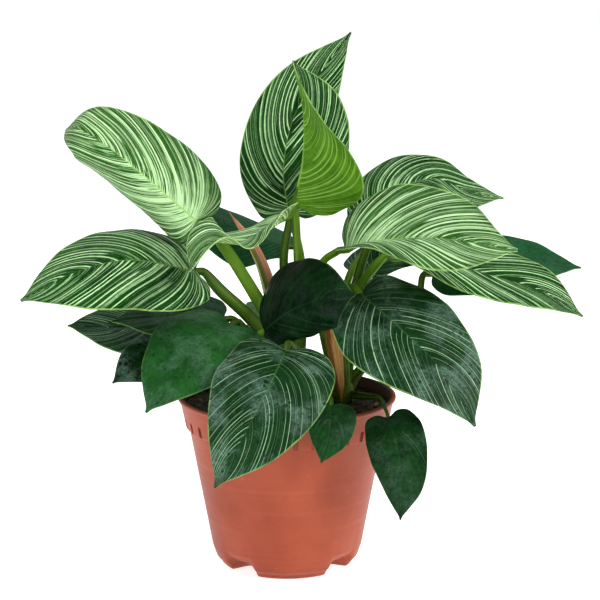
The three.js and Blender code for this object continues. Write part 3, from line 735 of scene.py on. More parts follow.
# %% Helpers for shader groups
def shader_group(name, inputs, outputs):
    return new_tree(name, "ShaderNodeTree",
                    [(label, "Float", default) for label, default in inputs],
                    [(label, "Float") for label in outputs])


def attribute(tree, name):
    return made(tree, "ShaderNodeAttribute", output="Fac", attribute_name=name)


def noise_of(vector, scale, detail=2.0, roughness=0.5):
    return made(vector.tree, "ShaderNodeTexNoise", {
        "Vector": vector, "Scale": scale, "Detail": detail, "Roughness": roughness})


def object_place(tree):
    return made(tree, "ShaderNodeTexCoord", output="Object")


def random_cells(tree, inputs, **settings):
    """The distance to the nearest cell's middle, and three random numbers of that cell."""
    cells = add_node(tree, "ShaderNodeTexVoronoi", inputs, **settings)
    split = add_node(tree, "ShaderNodeSeparateColor", {"Color": out_of(cells, "Color")})
    return [out_of(cells, "Distance")] + [out_of(split, i) for i in range(3)]


def leaf_place(tree):
    """Vein number, distance out from the midrib, which half, and the leaf's own seed."""
    vein, across_leaf, leaf_seed = [
        attribute(tree, name) for name in ("vein", "across", "leaf_seed")]
    return vein, across_leaf.size(), across_leaf.join("SIGN"), leaf_seed


def crowded(vein):
    """The vein number, growing faster near the tip, where lines stand closer."""
    return vein + vein ** 5.0 * 0.4


print("leaf attributes: vein, across, leaf_seed, cream, dust, underside")

# %% Group: cream lines along the veins
lines_group, given, lines_end = shader_group(
    "vein_lines",
    [("Count", 26.0), ("Line Width", 0.2), ("Presence", 0.9), ("Wobble", 0.3), ("Shift", 0.0)],
    ["Lines"])
vein, out_leaf, hand, leaf_seed = leaf_place(lines_group)
drift = noise_of(combined(lines_group, vein * 9.0, (out_leaf * hand) * 3.0,
                          leaf_seed + given["Shift"]), 1.0)
steps = crowded(vein) * given["Count"] + hand * 37.3 + leaf_seed * 11.0 + given["Shift"]
distance, chance_width, chance_there, chance_start = random_cells(lines_group, {
    "W": steps + (drift - 0.5) * given["Wobble"], "Scale": 1.0, "Randomness": 0.8},
    voronoi_dimensions="1D")
grain = noise_of(combined(lines_group, vein * 60.0, out_leaf * 7.0, leaf_seed + hand), 1.0)
spacing = (1.0 - out_leaf) * (vein ** 2.2) * 3.2 + out_leaf * 1.1
spacing = spacing / (vein ** 4.0 * 2.0 + 1.0)
evened = (1.0 / (spacing + 0.12)).at_most(1.2).at_least(0.3)
width = given["Line Width"] * (chance_width * 0.9 + 0.35) * (grain * 1.3 + 0.35) * evened
line = 1.0 - ramp(distance, width * 0.65, width)
missing = chance_there / given["Presence"]
there = ramp(missing, 0.2, 0.98, 1.0, 0.25) * missing.join("LESS_THAN", 1.0)
begun = ramp(out_leaf - (chance_start - 0.62), 0.0, 0.12)
ended = ramp(out_leaf + chance_width * 0.12, 0.98, 1.1, 1.0, 0.35)
put_out(lines_end, line * there * begun * ended)

# %% Group: cream streaks of young leaves
streak_group, given, streaks_end = shader_group(
    "cream_streaks", [("Amount", 0.5), ("Softness", 0.12)], ["Streaks"])
vein, out_leaf, hand, leaf_seed = leaf_place(streak_group)
fine = noise_of(combined(streak_group, crowded(vein) * 104.0, out_leaf * 2.0,
                         leaf_seed * 3.0 + hand), 1.0, 3.0, 0.6)
broad = noise_of(combined(streak_group, vein * 15.0, out_leaf * 1.6,
                          leaf_seed + hand * 2.0), 1.0, 1.0)
level = fine * 0.8 + broad * 0.2 + (given["Amount"] - 0.5) * 0.72
half_step = given["Softness"] * 0.5
put_out(streaks_end, ramp(level, 0.5 - half_step, 0.5 + half_step))

# %% Group: fine relief of a blade
SMALL_VEINS = 330.0
relief_group, given, relief_end = shader_group("leaf_relief", [("Depth", 1.0)], ["Height"])
vein, out_leaf, _, leaf_seed = leaf_place(relief_group)
side_veins = (vein * SIDE_VEINS + leaf_seed * 3.0).join("SINE") * 0.5
small_veins = (vein * SMALL_VEINS + leaf_seed).join("SINE") * 0.12
place = object_place(relief_group)
skin_grain, pucker = noise_of(place, 900.0, 3.0) * 0.5, noise_of(place, 140.0) * 0.6
put_out(relief_end,
        (side_veins * out_leaf + small_veins + skin_grain + pucker) * given["Depth"])

# %% [markdown]
# ### Dust, painted sheen and dried drops
# Old leaves carry a dull bloom in clouds, partly dust and partly a painted grey sheen,
# and small round marks where drops have dried and washed it off. Both are masks from
# noise and from Voronoi cells, so that they have no pattern in common with the veins.

# %% Group: dust bloom and painted sheen
dust_sheen_group, given, dust_sheen_end = shader_group(
    "dusty_bloom", [("Amount", 0.5)], ["Bloom", "Spots"])
place = object_place(dust_sheen_group)
clouds, specks = noise_of(place, 52.0, 5.0, 0.65), noise_of(place, 700.0, 2.0, 0.7)
# Painted sheen: this grey bloom is partly dust and partly a sheen of light painted on the leaf.
dust_sheen_mask = ramp(clouds, 0.44, 0.66) * ramp(specks, 0.35, 0.65, 0.3, 1.0) * given["Amount"]
distance, chance_size, chance_there, _ = random_cells(
    dust_sheen_group, {"Vector": place, "Scale": 260.0, "Randomness": 1.0})
drop_size = chance_size * 0.26 + 0.14
drop = 1.0 - ramp(distance, drop_size * 0.7, drop_size)
drop = drop * chance_there.join("GREATER_THAN", 0.3)
patchy = ramp(noise_of(place, 55.0, 1.0), 0.38, 0.5)
put_out(dust_sheen_end, dust_sheen_mask, drop * patchy * given["Amount"])

# %% [markdown]
# ## Colours and shaders
# Every finish on the plant is built alike: a base colour, then layers that a mask lets
# through, then gloss and relief. These helpers say that once. Colours are typed as a
# screen shows them and turned into the linear values that a shader works in.

# %% Helpers for materials
def paint(red, green, blue):
    """A colour as a screen shows it (0 to 255), for a shader."""
    def linear(c):
        c = c / 255
        return c / 12.92 if c <= 0.04045 else ((c + 0.055) / 1.055) ** 2.4
    return (linear(red), linear(green), linear(blue), 1.0)


def new_material(name):
    material = bpy.data.materials.new(name)
    material.use_nodes = True
    return material, material.node_tree


def mixed(mask, under, over):
    return made(mask.tree, "ShaderNodeMix", {
        "Factor_Float": mask, "A_Color": under, "B_Color": over,
    }, "Result_Color", data_type="RGBA")


def layered(colour, *layers):
    """Paints layers over a colour in turn; a layer is the mask that shows it, and its colour."""
    for mask, over in layers:
        colour = mixed(mask, colour, over)
    return colour


def grouped(tree, group, **values):
    """The outputs of a shared group, placed with its own values."""
    node = add_node(tree, "ShaderNodeGroup", node_tree=group)
    for label, value in values.items():
        plug(node.inputs[label.replace("_", " ")], value)
    return [out_of(node, i) for i in range(len(node.outputs))]


def coat(material, colour, roughness, height, strength, depth, shine=0.5):
    """Gives a material its colour, gloss and relief; depth is in metres."""
    tree = material.node_tree
    shader = tree.nodes["Principled BSDF"]
    plug(shader.inputs["Base Color"], colour)
    plug(shader.inputs["Roughness"], roughness)
    shader.inputs["Specular IOR Level"].default_value = shine
    plug(shader.inputs["Normal"], made(tree, "ShaderNodeBump", {
        "Height": height, "Strength": strength, "Distance": depth}))
    print(material.name, "finish,", len(tree.nodes), "nodes")


MINT, CREAM, BUTTER = paint(170, 226, 152), paint(208, 244, 184), paint(156, 198, 106)
# A grey for dust, which also serves as a painted sheen on the leaves.
DUST_SHEEN_GREY = paint(112, 144, 128)

# %% [markdown]
# ## Mixing the leaf finishes
# Five finishes cover the plant: pale young leaves, striped, lined, plain and very dark
# old ones. All are mixed in the same order, so one function makes them and the numbers
# tell them apart. The green ground comes first, in soft patches, with a little painted
# light between the side veins, where the quilted blade would catch the light.

# %% The green ground
class LeafSkin:
    """What the paint of a leaf reads at each point, as outputs in its material's tree."""

    def __init__(self, tree):
        self.tree = tree
        self.vein, self.out, _, _ = leaf_place(tree)
        self.cream, self.dust, self.underside = [
            attribute(tree, name) for name in ("cream", "dust", "underside")]
        self.mottle = noise_of(object_place(tree), 60.0, 3.0)
        self.fine = noise_of(object_place(tree), 420.0, 3.0, 0.6)
        # Painted light: lighter midway between the side veins, for the quilted blade catching
        # the light.
        self.quilt_light = (self.vein * SIDE_VEINS).join("SINE") * 0.5 + 0.5
        self.near_middle = ((1.0 - self.out) * ramp(self.vein, 0.0, 0.2)
                            * ramp(self.vein, 0.5, 0.95, 1.0, 0.3))


def green_ground(skin, look):
    """Two greens. A leaf without streaks is lighter the more cream it has."""
    light_share = ramp(skin.mottle * 0.55 + skin.fine * 0.45, 0.4, 0.62) * 0.7
    if not look["streaks"]:
        light_share = light_share * (skin.cream * 0.4 + 0.2) + skin.cream * 0.6
    # The second layer is painted quilting light between the side veins.
    return layered(look["ground"], (light_share, look["light"]),
                   (skin.quilt_light * look["ribs"], look["light"]))


# %% [markdown]
# ### Cream over the green
# Lines lie on every leaf, with hair lines between them. The streaked leaves also have
# cream that has run together near the midrib: their lines are wider there, and fine
# green lines show through it.

# %% Cream lines and streaks
HAIR = {"Shift": 19.0, "Wobble": 0.6}
GREEN_HAIR = {"Count": 56.0, "Line_Width": 0.2, "Presence": 0.85, "Shift": 53.0, "Wobble": 0.6}


def line_masks(skin, look):
    """Masks of the broad lines and of the hair lines between them."""
    count, width, presence = look["count"], look["width"], look["presence"]
    if look["streaks"]:
        width = (skin.near_middle * skin.cream * 1.2 + 1.0) * width
    lines, = grouped(skin.tree, lines_group, Count=count, Line_Width=width, Presence=presence)
    hair, = grouped(skin.tree, lines_group, Count=count * 2.3, Line_Width=width * 0.5,
                    Presence=presence * 0.7, **HAIR)
    return lines, hair


def creamed(colour, skin, look, lines, hair):
    """Cream lines over the green and, on streaked leaves, the cream between them."""
    tint = look["line"]
    if look["streaks"]:
        amount = skin.cream - 0.2 + skin.near_middle * 0.25 - skin.out * 0.08
        streaks, = grouped(skin.tree, streak_group, Amount=amount, Softness=0.1)
        tone = mixed(ramp(skin.fine * 0.4 + amount, 0.5, 0.9), MINT, CREAM)
        colour = mixed(streaks * look["streaks"], colour, tone)
        tint = mixed(ramp(skin.fine, 0.3, 0.7), tint, CREAM)
    colour = mixed(lines.at_least(hair * 0.6) * look["strength"], colour, tint)
    if look["streaks"]:
        green_hair, = grouped(skin.tree, lines_group, **GREEN_HAIR)
        colour = mixed(green_hair * 0.8, colour, look["light"])
    return colour


# %% [markdown]
# ### Midrib, margin, dust with painted sheen, and underside
# The midrib and the thin margin are painted next, then the dull bloom of an old leaf,
# which is partly dust and partly a painted grey sheen. The underside has the same veins
# in its own lighter, duller greens. Leaves are waxy, so gloss comes from a low roughness,
# and it is broken by dust and by the relief.

# %% Leaf materials
def leaf_material(name, look):
    material, tree = new_material(name)
    skin = LeafSkin(tree)
    lines, hair = line_masks(skin, look)
    midrib = ramp(skin.out, 0.006, 0.028, 1.0, 0.0) * ramp(skin.vein, 0.6, 1.0, 1.0, 0.2)
    rim = (ramp(skin.out + skin.fine * 0.01, 0.982, 0.992)
           * ramp(skin.mottle, 0.35, 0.6, 0.25, 0.9))
    dust_sheen_mask, spots = grouped(tree, dust_sheen_group, Amount=skin.dust)
    upper_side = layered(
        creamed(green_ground(skin, look), skin, look, lines, hair),
        (midrib * 0.7, look["midrib"]), (rim * look["margin"], BUTTER),
        # dust and a painted grey sheen, then the drops that show the green again
        (dust_sheen_mask * (1.0 - spots) * look["dusty"], DUST_SHEEN_GREY), (spots * 0.9, look["ground"]))
    deep, light, pale = look["under"]
    # The underside's clouds are partly random tone and partly the same painted quilting light.
    cloudy = ramp(skin.mottle * 0.5 + skin.quilt_light * 0.14 + skin.fine * 0.36, 0.3, 0.7)
    lines_below = (lines * (0.9 if look["streaks"] else 0.45)).at_least(hair * 0.45)
    lower_side = layered(mixed(cloudy, deep, light), (lines_below, pale),
                         (midrib.at_least(rim * 0.8), pale))
    gloss = (skin.mottle * 0.16 + dust_sheen_mask * 0.3 + (look["roughness"] - 0.08)
             + skin.underside * 0.16)
    relief, = grouped(tree, relief_group, Depth=look["ribs"] * 5.0)
    coat(material, mixed(skin.underside, upper_side, lower_side), gloss,
         relief + lines * 0.25, 0.7, 0.0005, look["shine"])
    return material


# %% The five leaf finishes
LEAF_LOOKS = {
    "pale": dict(
        ground=paint(18, 66, 8), light=paint(52, 106, 30), line=CREAM,
        midrib=paint(160, 196, 84),
        under=(paint(66, 110, 34), paint(110, 152, 70), paint(204, 232, 170)),
        count=26.0, width=0.24, presence=0.96, strength=0.92, streaks=0.92,
        margin=0.8, dusty=0.2, roughness=0.4, shine=0.08, ribs=0.2),
    "striped": dict(
        ground=paint(2, 38, 4), light=paint(20, 78, 16), line=MINT,
        midrib=paint(100, 146, 60),
        under=(paint(52, 100, 10), paint(88, 136, 26), paint(134, 180, 76)),
        count=23.0, width=0.19, presence=0.95, strength=0.96, streaks=0.85,
        margin=0.8, dusty=0.3, roughness=0.4, shine=0.08, ribs=0.2),
    "lined": dict(
        ground=paint(1, 22, 6), light=paint(20, 70, 28), line=paint(172, 214, 166),
        midrib=paint(56, 104, 42),
        under=(paint(44, 88, 22), paint(74, 120, 36), paint(116, 160, 80)),
        count=22.0, width=0.095, presence=0.75, strength=0.8, streaks=0.0,
        margin=0.6, dusty=0.85, roughness=0.4, shine=0.1, ribs=0.15),
    "plain": dict(
        ground=paint(1, 15, 5), light=paint(40, 98, 42), line=MINT,
        midrib=paint(24, 70, 26),
        under=(paint(34, 76, 24), paint(60, 108, 40), paint(100, 144, 70)),
        count=20.0, width=0.05, presence=0.1, strength=0.2, streaks=0.0,
        margin=0.2, dusty=0.7, roughness=0.38, shine=0.05, ribs=0.06),
    "dark": dict(
        ground=paint(2, 24, 12), light=paint(26, 84, 44), line=MINT,
        midrib=paint(26, 74, 36),
        under=(paint(38, 82, 28), paint(66, 114, 44), paint(106, 150, 76)),
        count=20.0, width=0.05, presence=0.1, strength=0.15, streaks=0.0,
        margin=0.15, dusty=0.3, roughness=0.4, shine=0.08, ribs=0.08),
}
leaf_materials = {tone: leaf_material("leaf_" + tone, look)
                  for tone, look in LEAF_LOOKS.items()}
SLOTS = {tone: "leaf_" + tone for tone in LEAF_LOOKS}

# %% [markdown]
# ## Sheaths
# Each young leaf is wrapped in a sheath. The fresh one is thin and pink; the old one by
# the soil has dried to brown paper, with fibres that run along it. The blade tree
# grows them too, as narrow blades that are folded to a gutter.

# %% Sheath materials
def sheath_material(name, light, dark, edge_colour, roughness, inner_half=None):
    material, tree = new_material(name)
    vein, across_leaf = attribute(tree, "vein"), attribute(tree, "across")
    fibres = noise_of(combined(tree, vein * 3.0, across_leaf * 26.0, 1.7), 1.0, 4.0, 0.6)
    blots = noise_of(object_place(tree), 120.0, 3.0)
    colour = layered(dark, (ramp(fibres, 0.38, 0.64), light),
                     (ramp(blots, 0.5, 0.75) * 0.5, dark))
    if inner_half:
        greened = (ramp(across_leaf + (fibres - 0.5) * 0.3, 0.4, 0.8, 1.0, 0.0)
                   * ramp(vein, 0.8, 0.95, 1.0, 0.0))
        colour = mixed(greened, colour, inner_half)
    colour = mixed(ramp(across_leaf.size(), 0.8, 1.0) * 0.6, colour, edge_colour)
    coat(material, colour, blots * 0.2 + roughness, fibres, 0.6, 0.0005)
    return material


leaf_materials["pink"] = sheath_material(
    "pink_sheath", paint(240, 160, 138), paint(206, 118, 96), paint(210, 176, 116), 0.45,
    inner_half=paint(92, 132, 36))
leaf_materials["dry"] = sheath_material(
    "dry_sheath", paint(206, 146, 54), paint(140, 88, 26), paint(176, 122, 50), 0.6)
SLOTS.update(pink="pink_sheath", dry="dry_sheath")

# %% [markdown]
# ## Growing the blades
# Every blade is the same tree with its own numbers. The midrib goes in as a mesh of
# edges that carries the facing direction, and the result comes back as a plain mesh.

# %% Grow all blades
MIDRIB_POINTS, QUILTING, FLAT_QUILTING = 97, 0.0002, 0.0001


def half_values(half, numbers):
    """The six inputs of one half of a blade, from its entry in the table."""
    lifts, curls, shoulders = numbers
    values = [math.radians(a) for a in (*lifts, *curls)] + [float(s) for s in shoulders]
    return {half + " " + label: value for label, value in zip(HALF_LABELS, values)}


def grow_blade(name, leaf, **extra):
    path = smooth_path([Vector(p) * MM for p in leaf["midrib"]], MIDRIB_POINTS)
    base_face, tip_face = [Vector(f) for f in leaf["face"]]
    faces = [base_face.lerp(tip_face, i / (MIDRIB_POINTS - 1)) for i in range(MIDRIB_POINTS)]
    values = {"Outline": outline_guide, "Width": leaf["width"] * MM, "Seed": leaf["seed"],
              "Cream": leaf["cream"], "Dust": leaf["dust"],
              "Quilting": FLAT_QUILTING if leaf["tone"] in ("plain", "dark") else QUILTING,
              "Material": leaf_materials[leaf.get("finish", leaf["tone"])],
              **half_values("Left", leaf.get("left", FLAT)),
              **half_values("Right", leaf.get("right", FLAT)), **extra}
    piece = run_tree(name + "_blade", polyline(path, face=faces), blade_tree, values)
    finish_piece(piece, [name])


for name, leaf in LEAVES.items():
    grow_blade(name, leaf)
for name, sheath in SHEATHS.items():
    grow_blade(name, sheath, Columns=25, Wave=0.0003, Quilting=0.0)
bpy.data.objects.remove(outline_guide)

# %% [markdown]
# ## Leaf stalks
# A stalk is a rounded rod with a shallow channel along its upper side, and it widens
# where it clasps the stem. Sweeping one profile along each route makes them all. The
# radius and the facing direction travel with the route as attributes, so one tree run
# makes every stalk of a stem. Each stalk runs on under its blade and fades into the
# midrib, as in life.

# %% Stalk tree
SHARP_STALK = 1.1
stalk_tree, stalk_in, stalk_out = geometry_tree("sweep_stalks", [("Profile", "Object", None)])
route = made(stalk_tree, "GeometryNodeSetCurveNormal", {
    "Curve": curve_of(stalk_in["Geometry"]),
    "Normal": named(stalk_tree, "face", "FLOAT_VECTOR")}, mode="FREE")
swept = made(stalk_tree, "GeometryNodeCurveToMesh", {
    "Curve": route, "Profile Curve": curve_of(shape_of(stalk_in["Profile"])),
    "Fill Caps": True, "Scale": named(stalk_tree, "girth")})
end_tree(stalk_out, sharp_edges_kept(swept, SHARP_STALK), stalk_in["Material"])

# %% Stalk profile
PROFILE_POINTS, PROFILE_WIDTH, PROFILE_TOP = 28, 0.93, 0.52
CHANNEL_DEPTH, CHANNEL_WIDTH = 0.2, 0.34


def stalk_profile():
    """A ring of radius 1 in the XY plane, flattened and grooved towards +X."""
    angles = [2 * math.pi * i / PROFILE_POINTS for i in range(PROFILE_POINTS)]
    points = []
    for angle in angles:
        up, wide = math.cos(angle), math.sin(angle) * PROFILE_WIDTH
        channel = CHANNEL_DEPTH * math.exp(-((wide / CHANNEL_WIDTH) ** 2)) if up > 0 else 0
        points.append(Vector((min(up, PROFILE_TOP) - channel, wide, 0)))
    ring = [(i, (i + 1) % PROFILE_POINTS) for i in range(PROFILE_POINTS)]
    return link_object("stalk_profile", mesh_of(
        "stalk_profile", points, ring, round=[math.cos(angle) for angle in angles]))


profile_guide = stalk_profile()
print("profile points", len(profile_guide.data.vertices))

# %% [markdown]
# ## The finish of stems and stalks
# Stalks are a fresh yellow green, a little deeper on some, with fine pale lines along
# them and small dark flecks. The stem at the soil is older and browner. One stored
# number runs from foot to blade and one marks each stalk, so the paint can follow both.

# %% Stem material
stem_material, tree = new_material("green_stem")
height_up, tint, rounded = [attribute(tree, name) for name in ("height_up", "tint", "round")]
place = object_place(tree)
stripes = noise_of(combined(tree, rounded * 9.0, height_up * 1.6, tint * 31.0), 1.0, 3.0, 0.6)
flecks, clouds = noise_of(place, 420.0, 2.0, 0.6), noise_of(place, 70.0, 3.0)
foot = ramp(height_up, 0.02, 0.2, 1.0, 0.0)
colour = layered(
    paint(78, 124, 12), (tint, paint(14, 52, 3)),
    (ramp(stripes, 0.45, 0.72) * 0.4, paint(120, 158, 36)),
    (ramp(clouds, 0.5, 0.8) * 0.45, paint(40, 78, 8)),
    (ramp(rounded, 0.7, 1.0) * 0.15, paint(156, 178, 70)),
    (foot * 0.5, paint(88, 78, 32)),
    (ramp(flecks, 0.62, 0.72) * 0.3, paint(46, 62, 14)))
coat(stem_material, colour, clouds * 0.25 + 0.3, stripes + flecks * 0.4, 0.5, 0.0006, 0.12)

# %% [markdown]
# ## Building both stems
# The short stem itself is a stub that stands in its hole in the soil. It is turned
# like a pot: a profile spun about an axis. The stalks start inside it, so both are
# joined into one piece.

# %% Turned solids
def ring_of(radius, z, sides, centre=(0.0, 0.0)):
    """Points spaced evenly on a level circle."""
    turns = [2 * math.pi * i / sides for i in range(sides)]
    return [(centre[0] + radius * math.cos(t), centre[1] + radius * math.sin(t), z)
            for t in turns]


def lathe(profile, sides, centre=(0.0, 0.0)):
    """A closed solid turned about a vertical axis; the profile ends on the axis."""
    points, faces = [], []
    for radius, z in profile[1:-1]:
        points += ring_of(radius, z, sides, centre)
    bottom, top = len(points), len(points) + 1
    points += [(*centre, profile[0][1]), (*centre, profile[-1][1])]
    last = (len(profile) - 3) * sides
    for i in range(sides):
        j = (i + 1) % sides
        faces.append((bottom, j, i))
        for k in range(0, last, sides):
            faces.append((k + i, k + j, k + sides + j, k + sides + i))
        faces.append((last + i, last + j, top))
    return mesh_of("turned", points, faces=faces)


def in_metres(points):
    return [tuple(c * MM for c in point) for point in points]


def rod(name, radius, low, high, sides, centre):
    """A plain upright cylinder in millimetres, to cut a hole with."""
    profile = [(0, low), (radius, low), (radius, high), (0, high)]
    return link_object(name, lathe(in_metres(profile), sides, in_metres([centre])[0]))


def rounded_profile(points, radius, steps=3):
    """The same profile with each corner rounded off."""
    result = [points[0]]
    for before, corner, after in zip(points, points[1:], points[2:]):
        a, b, c = [Vector(p) for p in (before, corner, after)]
        cut = min(radius, (a - b).length * 0.45, (c - b).length * 0.45)
        start, end = b + (a - b).normalized() * cut, b + (c - b).normalized() * cut
        for i in range(steps + 1):
            t = i / steps
            result.append(tuple(start * (1 - t) ** 2 + b * 2 * t * (1 - t) + end * t * t))
    return result + [points[-1]]


print("corner points", len(rounded_profile([(0, 0), (1, 0), (1, 1)], 0.2)))

# %% [markdown]
# ### The route of a stalk
# A stalk keeps its girth up to the blade, where it slims, and it is thicker at its
# foot. Under the blade it fades in a few steps. Sizes here are in millimetres.

# %% Stalk routes
STEMS = {"stem_left": (3, 0, 9, 122), "stem_right": (36, 4, 7.5, 119)}
SOIL_TOP, STEM_FOOT, GAP = 103.5, 76, 0.3
JOINT_LENGTH, BLADE_CLEARANCE, FOOT_FLARE = 6, 0.35, 1.8
STALK_THICKNESS, SLIM_AT_BLADE, SLIMS_FROM = 2.3, 2.6, 0.8
ROUTE_POINTS, BLADE_POINTS = 56, 121
FADE = ((1.5, 0.86), (3.5, 0.7), (6, 0.55), (9, 0.42), (13, 0.26))  # (distance, girth share)


def stalk_route(leaf):
    """Route, girth and facing of one stalk, with its run under the blade."""
    blade = smooth_path([Vector(p) for p in leaf["midrib"]], BLADE_POINTS)
    blade_length = length_of(blade)
    ahead = directions(blade)
    bend, end = blade[0] - ahead[0] * JOINT_LENGTH, blade[0] - ahead[0] * (GAP + BLADE_CLEARANCE)
    path = smooth_path([*leaf["petiole"], bend, end], ROUTE_POINTS)
    thick = leaf.get("stalk", STALK_THICKNESS)
    slim = min(thick, SLIM_AT_BLADE)
    girths = []
    for i in range(ROUTE_POINTS):
        share = i / (ROUTE_POINTS - 1)
        near_blade = smooth_share(SLIMS_FROM, 1.0, share)
        girths.append(between(thick, slim, near_blade) + FOOT_FLARE * (1 - share) ** 2)
    face = Vector(leaf["face"][0])
    for distance, share in FADE:
        k = round(distance / blade_length * (BLADE_POINTS - 1))
        up = (face - ahead[k] * face.dot(ahead[k])).normalized()
        path.append(blade[k] - up * (0.5 + 0.5 * share * slim * 0.8))
        girths.append(slim * share)
    faces = [(face - way * face.dot(way)).normalized() for way in directions(path)]
    return path, girths, faces


print("stalk points", len(stalk_route(LEAVES["leaf_01"])[0]))

# %% Grow stems and stalks
STALK_TINT = {
    "leaf_01": 0.2, "leaf_02": 0.8, "leaf_03": 0.5, "leaf_04": 0.8, "leaf_05": 0.5,
    "leaf_07": 0.9, "leaf_08": 0.0, "leaf_09": 0.0, "leaf_10": 0.9, "leaf_11": 0.5,
    "leaf_13": 1.0, "leaf_14": 1.0,
}
STUB_RISE, STUB_TAPER, STUB_CROWN, STUB_ROUNDING, STUB_SIDES = 4, 1.5, 3, 1.5, 40
random.seed(5)


def make_stem(name, leaves):
    points, edges, girths, faces, shares, tints = [], [], [], [], [], []
    for leaf in leaves:
        path, girth, face = stalk_route(LEAVES[leaf])
        edges += [(len(points) + i, len(points) + i + 1) for i in range(len(path) - 1)]
        points += [p * MM for p in path]
        girths += [g * MM for g in girth]
        faces += face
        shares += [i / (len(path) - 1) for i in range(len(path))]
        tints += [STALK_TINT.get(leaf, random.random())] * len(path)
    routes = mesh_of(name + "_routes", points, edges,
                     girth=girths, height_up=shares, tint=tints, face=faces)
    stalks = run_tree(name + "_stalks", routes, stalk_tree,
                      {"Profile": profile_guide, "Material": stem_material})
    x, y, radius, top = STEMS[name]
    profile = [(0, STEM_FOOT), (radius, STEM_FOOT), (radius, SOIL_TOP + STUB_RISE),
               (radius - STUB_TAPER, top - STUB_CROWN), (0, top)]
    stub_mesh = lathe(in_metres(rounded_profile(profile, STUB_ROUNDING, 4)), STUB_SIDES,
                      (x * MM, y * MM))
    stub_mesh.materials.append(stem_material)
    stub_mesh.shade_smooth()
    join_pieces(stalks, link_object(name + "_stub", stub_mesh))
    stalks.name = name + "_with_stalks"
    finish_piece(stalks, [name])


make_stem("stem_left", [name for name in LEAVES if name not in ON_RIGHT_STEM])
make_stem("stem_right", ON_RIGHT_STEM)
bpy.data.objects.remove(profile_guide)

# %% [markdown]
# ## The nursery pot
# The pot is moulded in thin plastic: a tapered wall, a flared collar with a lip, a row
# of shallow slots in the collar's lower edge, and four feet with notches between them
# so that water can leave. A turned profile makes the wall, and its underside is raised
# where the notches are. Corners are rounded in the profile, because moulded plastic has
# none that are sharp.

# %% Turn the pot
POT_SIDES, POT_ROUNDING, FOOT_RADIUS, NOTCH_INNER_RADIUS, FOOT_TURN = 288, 0.7, 42.5, 28, 0.08
NOTCH_HEIGHT, NOTCH_FADE, QUARTER = 8, 16, math.pi / 2
NOTCH_FULL, NOTCH_END = 0.17, 0.28  # radians from the middle of a notch
POT_PROFILE = [
    (0, 0), (28, 0), (35, 0), (41.3, 0), (42.9, 0.9), (43.6, 3.1), (44.5, 3.7), (46.2, 5.2),
    (48.5, 12), (52.9, 36), (57.4, 60), (62.8, 89.5), (64.9, 90.3), (66.7, 99), (68.6, 107.6),
    (70, 108.1), (69.8, 110), (67.1, 110), (64.6, 99), (62.8, 92), (61.3, 90), (55.9, 60),
    (51.5, 36), (47, 12), (44.2, 5), (40.2, 1.5), (34.6, 1.5), (28, 1.5), (0, 1.5),
]


def notch_lift(x, y, z):
    """How far the underside is raised at a place, in millimetres."""
    angle = math.atan2(y, x) - FOOT_TURN - QUARTER / 2
    from_notch = abs(angle - QUARTER * round(angle / QUARTER))
    along_ring = 1 - smooth_share(NOTCH_FULL, NOTCH_END, from_notch)
    outward = smooth_share(NOTCH_INNER_RADIUS, FOOT_RADIUS - 3, math.hypot(x, y))
    upward = 1 - min(max(z / NOTCH_FADE, 0.0), 1.0)
    return NOTCH_HEIGHT * along_ring * outward * upward


def raise_notches(mesh):
    for vertex in mesh.vertices:
        x, y, z = [c / MM for c in vertex.co]
        vertex.co.z += notch_lift(x, y, z) * MM


pot_mesh = lathe(in_metres(rounded_profile(POT_PROFILE, POT_ROUNDING)), POT_SIDES)
raise_notches(pot_mesh)
pot_mesh.shade_smooth()
pot = link_object("pot_shell", pot_mesh)
print("pot wall", len(pot_mesh.polygons), "faces")

# %% [markdown]
# ### Slots and drain holes
# Thirty-six slots repeat round the collar, so a small tree places their cutters: a
# circle of points, one rounded box on each, turned to face out and leaned with the
# collar. The slots and the drain holes are then cut with a Boolean, because a cut
# through a curved wall has no simple rule.

# %% Slot cutters by Geometry Nodes
SLOT_COUNT = 36
cutter_tree, cutter_in, cutter_out = geometry_tree("ring_of_cutters", [
    ("Ring Radius", "Float", 0.06), ("Count", "Int", SLOT_COUNT), ("Height", "Float", 0.08),
    ("Lean", "Float", 0.18)])
ring = made(cutter_tree, "GeometryNodeCurvePrimitiveCircle", {
    "Radius": cutter_in["Ring Radius"], "Resolution": cutter_in["Count"]}, mode="RADIUS")
ring = made(cutter_tree, "GeometryNodeCurveToPoints", {
    "Curve": ring, "Count": cutter_in["Count"]}, mode="EVALUATED")
number = made(cutter_tree, "GeometryNodeInputIndex")
heading = number * (2 * math.pi) / cutter_in["Count"]
placed = made(cutter_tree, "GeometryNodeInstanceOnPoints", {
    "Points": ring, "Instance": cutter_in["Geometry"],
    "Rotation": combined(cutter_tree, 0.0, cutter_in["Lean"], heading)})
half_turned = made(cutter_tree, "GeometryNodeTransform", {
    "Geometry": placed, "Rotation": (0.0, 0.0, math.pi / SLOT_COUNT),
    "Translation": combined(cutter_tree, 0.0, 0.0, cutter_in["Height"])})
end_tree(cutter_out, half_turned, cutter_in["Material"])

# %% [markdown]
# ### The pot's plastic
# The pot is a warm terracotta, a little uneven in colour like recycled plastic, with a
# satin gloss, fine scuffs and a trace of dried soil near the foot and the rim. Faint
# rings from the mould run round the wall, and painted shade darkens the inner wall above
# the soil and the slots in the collar. A point's distance from the collar's slope tells
# outside from inside.

